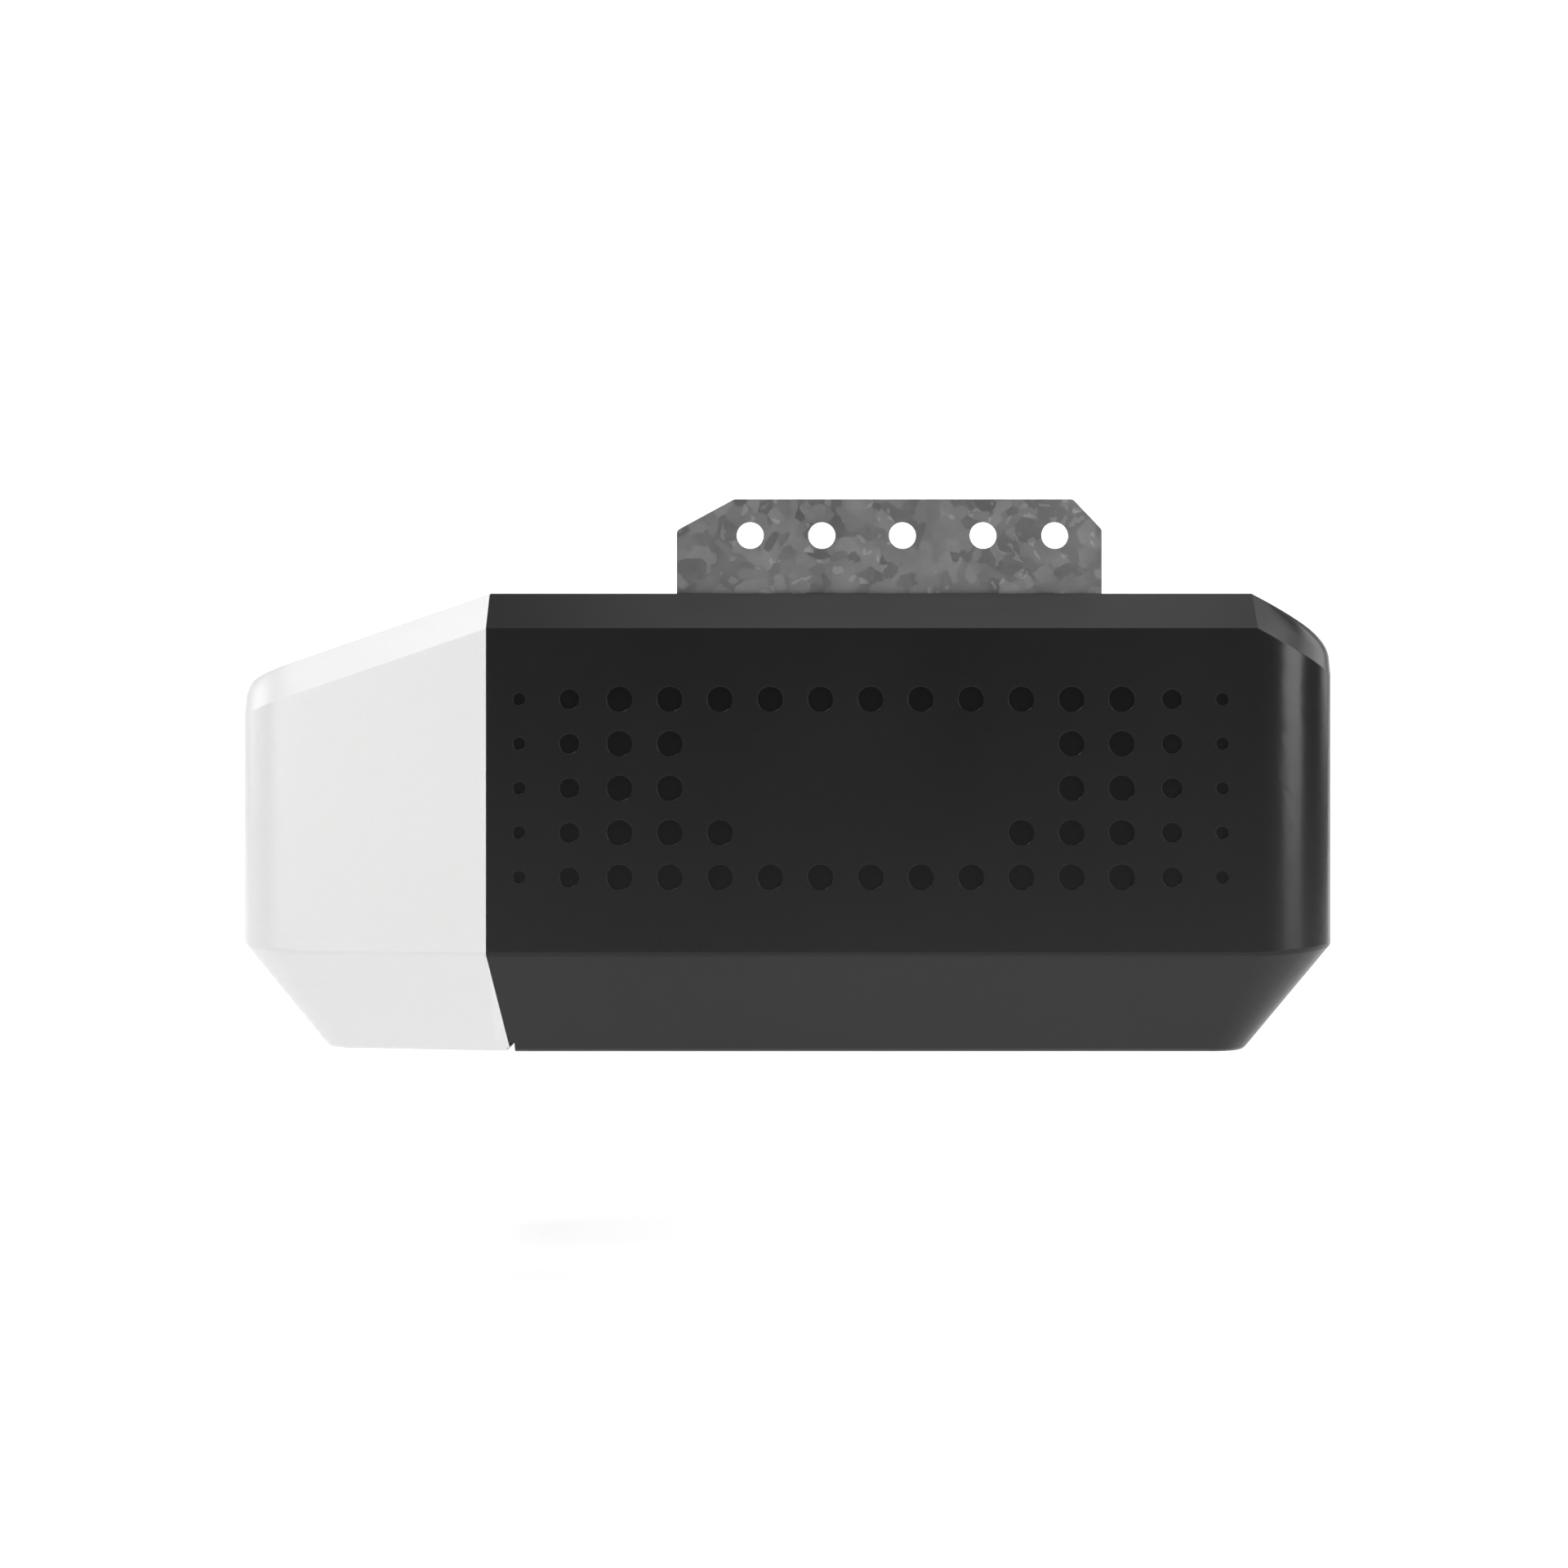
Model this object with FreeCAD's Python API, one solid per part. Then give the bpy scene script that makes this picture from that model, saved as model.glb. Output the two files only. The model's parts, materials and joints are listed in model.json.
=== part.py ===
import FreeCAD, Part
import functools
import math
import os
from FreeCAD import Vector

# Ceiling-mounted garage door opener, millimetres.
# +X runs from the lamp end to the control end, +Y across, +Z up.
# The origin is the middle of the flat underside.
# A pair in brackets named _X, _Y or _Z is a (low, high) span along that axis.

PARTS = "parts"
BIG = 1400.0                # larger than the whole object
OVERCUT = 1.0               # how far a cutter runs past the face that it cuts
RUNNING_GAP = 0.05          # radial play of a shaft in its bush
SEAT_GAP = 0.3              # play round a piece that drops into a pocket

# ---- outer form ----
HALF_LENGTH = 195.5
HALF_WIDTH = 125.0
BODY_HEIGHT = 163.3
TOP_CREASE_Z = 150.4        # where the side walls turn in to the top rim
RIM_INSET = 13.0
LOW_SIDE_Z = 36.6           # where the side walls turn in to the underside
LOW_SIDE_INSET = 30.0
LOW_END_Z = 39.7
LOW_END_INSET = 29.0
CORNER_R = 29.0
FOOT_CORNER_R = 13.0
CORNER_GROWTH_HEIGHT = 38.0
LOW_CREASE_R = 2.5
FOOT_R = 4.0
PARTING_X = -103.6          # joint between the lens and the cover
PARTING_FOOT_X = -97.8
PARTING_GAP = 0.25
LENS_SLOPE_DEG = 18.0
LENS_TAPER = 0.207          # sideways narrowing of the lens per mm of length
END_SLOPE_X = 165.0
END_SLOPE_DEG = 28.0
END_RIM_INSET = 6.0
LENS_RIM_INSET = 4.0
ROLL_START = 0.5            # share of the rim's height where the end starts to roll over
ROLL_STEPS = 4
CORNER_SHRINK = 8.0
RIM_RATE = 1.1              # how far the rim and top drop per mm of wall
COVER_WALL = 2.5
LENS_WALL = 2.2

# ---- vent dimples on both side walls ----
DIMPLE_COLUMNS = 15
DIMPLE_ROWS = 5
DIMPLE_PITCH_X = 17.5
DIMPLE_PITCH_Z = 15.5
DIMPLE_CENTRE_X = 30.2
DIMPLE_TOP_Z = 125.7
DIMPLE_DEPTH = 1.0
DIMPLE_RADII = (2.2, 3.5, 4.5)          # first, second and all other columns from each end
DIMPLES_PER_ROW_END = (8, 4, 4, 5, 8)   # how far each row runs in from each end

# ---- cooling slots in the cover's underside ----
SLOT_COUNT = 9
SLOT_START_X = 62.0
SLOT_PITCH = 9.0
SLOT_WIDTH = 4.0
SLOT_HALF_LENGTH = 45.0

# ---- chassis plate and hanger flanges ----
SHEET = 1.8
PLATE_BOTTOM = 161.3
PLATE_TOP = PLATE_BOTTOM + SHEET
PLATE_X = (-91.6, 158.0)
PLATE_HALF_WIDTH = 108.0
PLATE_GAP = 0.4
OPENING_X = (-82.0, 148.0)
OPENING_HALF_WIDTH = 94.0
LEDGE_X = (-98.0, 162.0)
LEDGE_HALF_WIDTH = 111.5
LEDGE_BOTTOM = 155.5
LEDGE_SINK = 0.5            # the ledge stops this far inside the outer skin
FLANGE_X = (-38.0, 112.6)
FLANGE_TOP = 197.0
FLANGE_CHAMFERS = ((20.3, 11.0), (10.2, 10.7))   # (along, down) at each top corner
FLANGE_CORNER_R = 2.0
HANGER_HOLE_R = 4.7625
HANGER_HOLE_Z = 184.2
HANGER_CENTRE_X = 42.0
HANGER_OFFSETS = (-53.975, -28.575, 0.0, 28.575, 53.975)
BEND_R = 2.0
BEAD_X = (-60.0, 130.0)     # stiffening beads pressed up in the plate
BEAD_YS = (-87.0, -73.0, 73.0, 87.0)
BEAD_R = 2.4
BEAD_HEIGHT = 1.0
BEAD_ROOT = 0.5
LEG_X = (-81.8, -80.0)      # tongue bent down behind the lamp
LEG_HALF_WIDTH = 36.0
LEG_BOTTOM = 118.0
SHAFT_HOLE_R = 9.0

# ---- fasteners ----
COVER_SCREWS = [(x, side * 68.0) for x in (-87.0, 153.0) for side in (-1, 1)]
COVER_SCREWS += [(x, side * 98.5) for x in (-15.0, 92.0) for side in (-1, 1)]
FRAME_SCREWS = [(x, y) for x in (4.0, 46.0) for y in (-22.0, 12.0)]
TRANSFORMER_SCREWS = [(-70.0, -57.0), (-14.0, -57.0)]
CLIP_SCREWS = [(-69.0, 49.0), (-19.0, 49.0)]
LEG_SCREWS = [(-26.0, 132.0), (26.0, 132.0)]    # (y, z)
RAIL_BOLTS = [(98.0, -31.0), (98.0, 31.0)]
SCREW_R = 2.1
SCREW_TIP_Z = 156.5
SCREW_HEAD = (4.6, 6.4, 2.0)        # washer radius, width across flats, hexagon height
WASHER_THICKNESS = 0.8
RAIL_BOLT_R = 3.0
RAIL_BOLT_TIP_Z = 155.0
RAIL_BOLT_HEAD = (6.2, 9.5, 3.6)
WELD_NUT_FLATS = 10.0
WELD_NUT_HEIGHT = 5.0
LEG_SCREW_R = 2.0
LEG_HEAD_R = 4.0
LEG_HEAD_HEIGHT = 2.2
LEG_SCREW_TIP_X = -76.0
CROSS_REACH = 2.0
CROSS_HALF_WIDTH = 0.5
CROSS_DEPTH = 1.0

# ---- rail strap ----
RAIL_STRAP_X = (84.0, 112.0)
RAIL_STRAP_TOP = 177.0
RAIL_STRAP_SHEET = 2.0
RAIL_CHANNEL_HALF = 20.0
RAIL_FOOT_HALF = 38.0
RAIL_BEND_R = 1.8

# ---- drive line ----
SHAFT_X = 25.0              # output shaft axis
SHAFT_R = 6.0
SHAFT_Z = (72.0, 181.0)
SHAFT_CHAMFER = 0.8
GEAR_Z = 108.0
MODULE = 1.5
GEAR_TEETH = 30
GEAR_WIDTH = 16.0
GEAR_FACE_Z = (GEAR_Z - GEAR_WIDTH / 2, GEAR_Z + GEAR_WIDTH / 2)
GEAR_RIM_R = 17.5
GEAR_HUB_R = 11.0
GEAR_HUB_Z = (GEAR_FACE_Z[0] - 4.0, GEAR_FACE_Z[1] + 6.0)
GEAR_RECESS = 4.0
WORM_PITCH_R = 8.0
WORM_TURNS = 5.5
WORM_SHOULDER = 3.0
WORM_THREAD_ROOT = 0.4      # depth of the thread's foot below the core's surface
TOOTH_THICKNESS = 2.1       # worm thread and gear tooth at the pitch line, less than half the pitch
DEDENDUM = 1.2 * MODULE
PRESSURE_DEG = 20.0
MOTOR_Y = WORM_PITCH_R + MODULE * GEAR_TEETH / 2
MOTOR_SHAFT_R = 5.0
MOTOR_SHAFT_X = (-5.0, 159.0)
TRAVEL_MODULE = 1.0
TRAVEL_TEETH = (20, 40)
TRAVEL_Z = (76.0, 82.0)
TRAVEL_TOOTH = 1.35
TRAVEL_ADDENDUM = 0.9
TRAVEL_DEDENDUM = 1.2
TRAVEL_AXIS_Y = -TRAVEL_MODULE * sum(TRAVEL_TEETH) / 2
TRAVEL_HOLES = (4, 12.0, 3.0)       # count, pitch radius, hole radius
TRAVEL_POST_R = 3.0
TRAVEL_SHOULDER_R = 5.0
TRAVEL_SHOULDER_GAP = 0.4
TRAY_X = (-3.0, 53.0)
TRAY_Y = (TRAVEL_AXIS_Y - 26.0, 14.0)
TRAY_Z = (68.0, 84.0)
TRAY_WALL = 2.0
CLIP_RING = (8.4, 1.2)              # outer radius and thickness
CLIP_BOTTOMS = (176.5, 82.6)
CLIP_MOUTH_X = (SHAFT_X + 3.0, SHAFT_X + 12.0)
CLIP_MOUTH_HALF = 2.0

# ---- gear frame and bushes ----
FRAME_X = (-6.0, 56.0)
FRAME_Y = (-28.0, 46.0)
FRAME_Z = (84.0, PLATE_BOTTOM)
FRAME_SHEET = 3.0
FRAME_WORM_HOLES = (8.0, 10.0)      # radii at the far and motor side
BUSH_R = 9.0
TOP_BUSH_Z = (156.0, 165.3)
TOP_BUSH_FLANGE_R = 13.0
LOW_BUSH_TOP = 90.0
LOW_BUSH_FLANGE_R = 12.0

# ---- motor ----
STATOR_X = (78.0, 118.0)
STATOR_HALF = 42.0
STATOR_CORNER = 8.0
BORE_R = 26.0
AIR_GAP = 0.4
SLOTS = 12
SLOT_R = (BORE_R + 1.5, BORE_R + 10.0)
STATOR_SLOT_HALF = 2.4
WINDING_R = (BORE_R + 1.0, BORE_R + 10.5)
WINDING_LENGTH = 12.0
WINDING_ROUND = 3.5
BELL_LENGTH = 20.0
BELL_PLATE = 3.5
BELL_BORE_R = 38.0
BELL_HUB = (11.0, 12.0)             # radius and length
BELL_VENTS = (8, 24.0, 5.0)         # count, pitch radius, hole radius
FRONT_BELL_X = (STATOR_X[0] - BELL_LENGTH, STATOR_X[0])
REAR_BELL_X = (STATOR_X[1], STATOR_X[1] + BELL_LENGTH)
BEARING_R = 8.0
NOSE_BEARING_X = (-6.0, 3.0)
NOSE_FLANGE_X = (-3.0, -1.0)
NOSE_FLANGE_R = 10.5
BOLT_OFFSET = 35.0
MOTOR_BOLT_R = 2.2
MOTOR_BOLT_FLATS = 7.0
MOTOR_BOLT_HEAD = 3.0
MOTOR_NUT = 1.6
ROTOR_OVERHANG = 2.0
ROTOR_BARS = (20, BORE_R - 3.5, 1.3)    # count, pitch radius, bar radius
END_RING_R = (BORE_R - 8.0, BORE_R - 1.0)
END_RING_LENGTH = 4.0
CUP_X = (140.0, 142.0, 147.0)       # back, web's front and rim
CUP_R = (12.6, 14.0)
CUP_HUB_R = 7.0
CUP_GAPS = 5
CUP_GAP_HALF = 2.5
FAN_X = (148.0, 158.0)
FAN_HUB_R = 9.0
FAN_R = 34.0
FAN_DISC = 1.4
FAN_BLADES = 9
FAN_BLADE_X = (149.5, 157.0)
FAN_BLADE_R = (8.0, 33.0)
FAN_BLADE_HALF = 0.7
FAN_BLADE_LEAN = 20.0
SADDLE_X = (80.0, 116.0)
SADDLE_SHEET = 2.0
SADDLE_LEG_BOTTOM = GEAR_Z - 6.0
SADDLE_TOP = GEAR_Z + STATOR_HALF + SADDLE_SHEET
ISOLATORS = [(x, MOTOR_Y + dy) for x in (84.0, 112.0) for dy in (-24.0, 24.0)]
ISOLATOR_R = 6.5
ISOLATOR_WAIST_R = 5.4
ISOLATOR_LIP = 3.2
ISOLATOR_BOLT_R = 2.5
ISOLATOR_BOLT_HEAD = (4.6, 6.0, 2.0)

# ---- electrics under the plate ----
TRANSFORMER_X = (-66.0, -18.0)
TRANSFORMER_Y = (-78.0, -36.0)
TRANSFORMER_Z = (112.0, 156.0)
TRANSFORMER_LIMB = 8.0
COIL_OVERHANG = 9.0
COIL_HALF_X = 16.0
COIL_CORNER_R = 5.0
STRAP_SHEET = 1.5
STRAP_INSET = 12.0
STRAP_EAR = 10.0
CAPACITOR_X = -44.0
CAPACITOR_Y = (14.0, 84.0)
CAPACITOR_Z = 136.0
CAPACITOR_R = 18.0
CAPACITOR_ROUND = 2.0
CAPACITOR_TABS = (7.0, 3.0, 0.5, 8.0)   # offset from the axis, half width, half thickness, length
CAPACITOR_CLIP_Y = (42.0, 56.0)
CLIP_POST_HALF = 8.0
CLIP_FOOT_HALF = 31.0

# ---- chain sprocket ----
CHAIN_PITCH = 12.7
SPROCKET_TEETH = 15
SPROCKET_TIP = 2.9                  # from the pitch circle to the tooth tips
ROLLER_R = 4.05
SPROCKET_Z = (171.0, 173.5)
SPROCKET_HOLES = (5, 18.5, 4.2)     # count, pitch radius, hole radius
SPROCKET_HUB_R = 11.0
SPROCKET_HUB_Z = (166.0, 176.5)

# ---- lamp ----
LAMP_Z = 82.0
BULKHEAD_X = (-83.8, -81.8)
BULKHEAD_GAP = 0.3
BULKHEAD_HOLE_R = 17.5
SOCKET_X = (-81.8, -47.0)
SOCKET_R = 20.5
SOCKET_FLOOR_X = -51.0
SOCKET_BORE_R = 14.6
SOCKET_WIRE_R = 2.5
SHELL_R = (14.2, 14.6)
SHELL_X = (-79.0, -51.0)
CAP_X = (-78.0, -58.0)
CAP_R = 12.9
CAP_THREADS = 5
CAP_THREAD_PITCH = 3.6
CAP_THREAD_START_X = -75.0
CAP_THREAD = (12.6, 1.1)            # ring radius and bead radius
CAP_CONE = (12.0, 5.5, 4.0)         # two radii and the length
CONTACT_X = (-54.0, -52.6)
CONTACT_R = 4.0
COLLAR_R = (13.6, 14.2, 18.6, 27.6)
COLLAR_X = (-78.0, -86.0, -98.0, -112.0)
GLOBE_R = 30.0
GLOBE_FOOT_R = 28.2
GLOBE_CENTRE_X = -133.0

# ---- lens hinge ----
HINGE_X = -97.3
HINGE_Z = 1.6
HINGE_Y = 60.0
PIN_R = 0.8
PIN_END = 0.5               # the pins stop this far inside the outer knuckles
KNUCKLE_R = 1.6
LENS_KNUCKLE = 8.0
COVER_KNUCKLE = 6.0
KNUCKLE_GAP = 0.4
KNUCKLE_WEB = 3.0
HINGE_NOTCH_X = (HINGE_X - 2.0, HINGE_X + 4.2)
HINGE_NOTCH_TOP = 5.0
FOOT_RELIEF_X = (HINGE_X - 2.0, HINGE_X + 0.8)      # lets the lens's foot swing under the cover
FOOT_RELIEF_HALF_Y = 98.0
FOOT_RELIEF_TOP = 3.4
LENS_FLOOR = 0.4
LENS_FOOT_X = HINGE_X - 2.0
LENS_FOOT_TOP = HINGE_Z + RUNNING_GAP
LENS_NOTCH_X = (HINGE_X - 2.4, HINGE_X + 3.0)
LENS_NOTCH_TOP = 4.2
ARM_X = (HINGE_X - 4.0, HINGE_X)
ARM_Z = (HINGE_Z - 0.6, HINGE_Z + 1.0)

# ---- lip of the lens inside the cover ----
LIP_INSET = COVER_WALL + 0.35
LIP_WALL = 1.6
LIP_START_X = PARTING_X - 2.0
LIP_END_X = -98.6
LIP_STEP = 8.0
LIP_STEP_BITE = 0.3         # how far the step reaches into the lens wall
LIP_CLEAR = 4.0             # height of the lip's foot above the lower crease

# ---- control end ----
WALL_INNER_X = HALF_LENGTH - COVER_WALL
END_CUT_X = (HALF_LENGTH - 14.0, HALF_LENGTH + 6.0)     # reach of a cutter through the end wall
WINDOW_Y = (-62.0, 62.0)
WINDOW_Z = (52.0, 122.0)
WINDOW_GAP = 0.2
PANEL_MARGIN = 5.0
PANEL_FACE_X = HALF_LENGTH - 1.3
PANEL_BACK_X = HALF_LENGTH - 5.5
BOARD_X = (HALF_LENGTH - 24.0, HALF_LENGTH - 22.4)
BOARD_Y = (-72.0, 66.0)
BOARD_Z = (46.0, 128.0)
BOARD_CORNER_R = 3.0
POST_R = 3.0
POST_INSET = 5.0
PANEL_POSTS = [(y, z) for y in (BOARD_Y[0] + POST_INSET, BOARD_Y[1] - POST_INSET)
               for z in (BOARD_Z[0] + POST_INSET, BOARD_Z[1] - POST_INSET)]
BUTTON_Z = 103.0
BUTTON_YS = {"up_button": -36.0, "adjust_button": -16.0, "down_button": 4.0, "learn_button": 40.0}
BUTTON_R = 5.6
LEARN_R = 6.6
BUTTON_GAP = 0.35
BUTTON_FACE_X = HALF_LENGTH - 0.4
BUTTON_BACK_X = HALF_LENGTH - 8.0
BUTTON_STEM_X = HALF_LENGTH - 15.8
BUTTON_STEM_R = 2.2
BUTTON_ROUND = 0.8
BUTTON_COLLAR = 1.5
COLLAR_GAP = 0.15
BUTTON_DISH = (1.6, 0.8)            # width and depth of the recess round each button
MARK_DEPTH = 0.4
BUTTON_MARKS = {
    "up_button": [(-2.6, -1.6), (2.6, -1.6), (0, 2.6)],
    "adjust_button": [(-2.2, -2.2), (2.2, -2.2), (2.2, 2.2), (-2.2, 2.2)],
    "down_button": [(-2.6, 1.6), (2.6, 1.6), (0, -2.6)],
    "learn_button": [],
}
SWITCH_HALF = 3.0
SWITCH_HEIGHT = 3.4
PLUNGER_R = 1.7
PLUNGER_TOP = 4.6
LIGHT_Y = 40.0
LIGHT_Z = 82.0
LIGHT_R = 2.0
LIGHT_COLLAR_R = 3.2
LIGHT_COLLAR_X = HALF_LENGTH - 10.0
LIGHT_BACK_X = BOARD_X[1] + 4.4
LIGHT_PROUD = 0.4
LED_R = 2.5
LED_HEIGHT = 4.2
TERMINAL_Y = (-48.0, -4.0)
TERMINAL_Z = (60.0, 84.0)
TERMINALS = ("red", "white_1", "white_2", "grey")
TERMINAL_FACE_X = PANEL_FACE_X - 0.7
TERMINAL_BACK_X = HALF_LENGTH - 15.0
PORT_Z = 66.0
PORT_R = 1.4
FUNNEL = (2.6, 1.6)                 # mouth radius and depth
TAB_HALF_Y = 3.4
TAB_Z = (73.5, 80.5)
TAB_X = (HALF_LENGTH - 12.0, HALF_LENGTH - 0.8)
TAB_ROUND = 0.9

# ---- pieces on the logic board: (y, z) spans, on the side away from the panel ----
RELAY_CENTRES = ((-52.0, 96.0), (-52.0, 66.0))
RELAY_HALF = (10.0, 8.0)
RELAY_HEIGHT = 16.0
CHIPS = (                           # height, y span, z span
    (2.0, (-14.0, 2.0), (84.0, 100.0)),
    (3.0, (-34.0, -20.0), (58.0, 68.0)),
    (3.0, (-34.0, -20.0), (106.0, 116.0)),
)
BOARD_CANS = (3, -8.0, 13.0, 58.0)  # count, first y, pitch, z
BOARD_CAN = (5.0, 12.0)             # radius and height
RADIO_Y = (44.0, 62.0)
RADIO_SHIELD = (4.0, (84.0, 112.0))
RADIO_BOARD = (1.2, (112.0, 120.0))
CONNECTORS = (
    ((-71.0, -63.0), (50.0, 64.0)),
    ((14.0, 34.0), (116.0, 124.0)),
    ((44.0, 60.0), (52.0, 60.0)),
)
CONNECTOR_HEIGHT = 9.0
CONNECTOR_FLOOR = 3.0
CONNECTOR_WALL = 1.5

# ---- speed sensor over the interrupter cup ----
SENSOR_Z = GEAR_Z + CUP_R[1]
SENSOR_X = (139.0, 147.2)
SENSOR_HALF_Y = 8.0
SENSOR_BOARD_Z = (SENSOR_Z + 6.0, SENSOR_Z + 7.2)
SENSOR_EYE_X = (143.2, 146.8)
SENSOR_EYE_HALF_Y = 4.0
SENSOR_EYE_BOTTOM = SENSOR_Z + 1.0
SENSOR_POST_X = (139.0, 141.0)

# ---- mains inlet ----
INLET_Y = 79.0
INLET_Z = 70.0
CORD_R = 4.2
INLET_HOLE_R = 9.0
INLET_LIP_R = 11.6
INLET_SEAT_R = 12.0
INLET_FLANGE_R = 11.0
INLET_LIP_X = (HALF_LENGTH - 1.2, HALF_LENGTH - 0.1)
INLET_FLANGE_X = (HALF_LENGTH - 4.5, WALL_INNER_X)


# ---------------------------------------------------------------- helpers
def past(span, by=OVERCUT):
    """A span made longer at both ends, so that a cutter runs right through."""
    return (span[0] - by, span[1] + by)


def about(centre, half):
    """The (low, high) span with this centre and half length."""
    return (centre - half, centre + half)


def box(x, y, z):
    """Box from three (low, high) pairs."""
    return Part.makeBox(x[1] - x[0], y[1] - y[0], z[1] - z[0], Vector(x[0], y[0], z[0]))


def rod_x(radius, x, y, z):
    return Part.makeCylinder(radius, x[1] - x[0], Vector(x[0], y, z), Vector(1, 0, 0))


def rod_y(radius, x, y, z):
    return Part.makeCylinder(radius, y[1] - y[0], Vector(x, y[0], z), Vector(0, 1, 0))


def rod_z(radius, x, y, z):
    return Part.makeCylinder(radius, z[1] - z[0], Vector(x, y, z[0]), Vector(0, 0, 1))


def ring_x(outer, inner, x, y, z):
    return rod_x(outer, x, y, z).cut(rod_x(inner, x, y, z))


def ring_z(outer, inner, x, y, z):
    return rod_z(outer, x, y, z).cut(rod_z(inner, x, y, z))


def slab(points, along):
    """Closed polygon of Vectors, swept by the Vector along."""
    return Part.Face(Part.makePolygon(list(points) + [points[0]])).extrude(along)


def prism_y(xz, y):
    return slab([Vector(x, y[0], z) for x, z in xz], Vector(0, y[1] - y[0], 0))


def prism_x(yz, x):
    return slab([Vector(x[0], y, z) for y, z in yz], Vector(x[1] - x[0], 0, 0))


def hexagon_z(across_flats, x, y, z):
    corner = across_flats / math.sqrt(3)
    turns = [math.radians(60 * i + 30) for i in range(6)]
    points = [Vector(x + corner * math.cos(a), y + corner * math.sin(a), z[0]) for a in turns]
    return slab(points, Vector(0, 0, z[1] - z[0]))


def hexagon_x(across_flats, x, y, z):
    corner = across_flats / math.sqrt(3)
    turns = [math.radians(60 * i + 30) for i in range(6)]
    points = [Vector(x[0], y + corner * math.cos(a), z + corner * math.sin(a)) for a in turns]
    return slab(points, Vector(x[1] - x[0], 0, 0))


def fused(shapes):
    whole = shapes[0]
    for shape in shapes[1:]:
        whole = whole.fuse(shape)
    return whole


def joined(shapes):
    return fused(shapes).removeSplitter()


def without(shape, cutters):
    for cutter in cutters:
        shape = shape.cut(cutter)
    return shape


def edges_where(shape, test):
    """Straight and curved edges whose two end points and middle pass test."""
    found = []
    for edge in shape.Edges:
        if len(edge.Vertexes) != 2:
            continue
        middle = edge.valueAt((edge.FirstParameter + edge.LastParameter) / 2)
        if all(test(p) for p in (edge.Vertexes[0].Point, edge.Vertexes[1].Point, middle)):
            found.append(edge)
    return found


def rounded(shape, radius, test):
    return shape.makeFillet(radius, edges_where(shape, test))


def edges_along(shape, direction):
    """Straight edges that run along the direction."""
    found = []
    for edge in edges_where(shape, lambda p: True):
        start, end = (vertex.Point for vertex in edge.Vertexes)
        if abs((end - start).normalize().dot(direction)) > 0.99:
            found.append(edge)
    return found


def circles_at(shape, x):
    """Full circles that lie in the plane at x."""
    return [edge for edge in shape.Edges if edge.Closed and abs(edge.CenterOfMass.x - x) < 0.1]


def save(name, shape):
    solids = shape.Solids
    whole = solids[0] if len(solids) == 1 else Part.makeCompound(solids)
    whole.exportStep(os.path.join(PARTS, name + ".step"))
    print(f"{name:26s} solids {len(solids):2d}  valid {whole.isValid()}  volume {whole.Volume:10.1f}")


# ---------------------------------------------------------------- outer form
def rounded_outline(points, radii):
    """Closed wire through the points, each corner turned by an arc of its radius."""
    starts, ends, arcs = [], [], []
    for i, (point, radius) in enumerate(zip(points, radii)):
        back = (points[i - 1] - point).normalize()
        ahead = (points[(i + 1) % len(points)] - point).normalize()
        if radius == 0:
            starts.append(point)
            ends.append(point)
            arcs.append(None)
            continue
        half = back.getAngle(ahead) / 2
        reach = radius / math.tan(half)
        centre = point + (back + ahead).normalize() * (radius / math.sin(half))
        middle = centre + (point - centre).normalize() * radius
        starts.append(point + back * reach)
        ends.append(point + ahead * reach)
        arcs.append(Part.Arc(starts[-1], middle, ends[-1]).toShape())
    edges = []
    for i, arc in enumerate(arcs):
        if arc is not None:
            edges.append(arc)
        edges.append(Part.makeLine(ends[i], starts[(i + 1) % len(points)]))
    return Part.Wire(edges)


def rim_levels(end_inset):
    """(height share, side inset, end inset) up the rim: a flat chamfer at the sides, a roll at the end."""
    levels = [(0.0, 0.0, 0.0), (ROLL_START, ROLL_START * RIM_INSET, 0.0)]
    for i in range(1, ROLL_STEPS + 1):
        turn = math.pi / 2 * i / ROLL_STEPS
        share = ROLL_START + (1 - ROLL_START) * math.sin(turn)
        levels.append((share, share * RIM_INSET, end_inset * (1 - math.cos(turn))))
    return levels


def end_zone(inset, start_x, taper, slope_deg, end_inset):
    """The body beyond start_x: rounded upright corners, with the rim and top sloping down outwards."""
    wires = []
    for share, side, end in rim_levels(end_inset):
        x = HALF_LENGTH - inset - end
        y = HALF_WIDTH - inset - side
        y_end = y - taper * (x - start_x)
        z = TOP_CREASE_Z + share * (BODY_HEIGHT - TOP_CREASE_Z) - RIM_RATE * inset
        r = CORNER_R - inset - share * CORNER_SHRINK
        corners = [Vector(start_x, -y, z), Vector(x, -y_end, z), Vector(x, y_end, z), Vector(start_x, y, z)]
        wires.append(rounded_outline(corners, (0, r, r, 0)))
    walls = Part.Face(wires[0]).extrude(Vector(0, 0, -TOP_CREASE_Z - 2 * RIM_INSET))
    chamfer = Part.makeLoft(wires[:2], True, True)
    roll = Part.makeLoft(wires[1:], True, False)
    level = walls.fuse(chamfer).fuse(roll)
    drop = math.tan(math.radians(slope_deg))
    shear = FreeCAD.Matrix()
    shear.A31 = -drop
    shear.A34 = drop * start_x
    return level.transformGeometry(shear)


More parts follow.
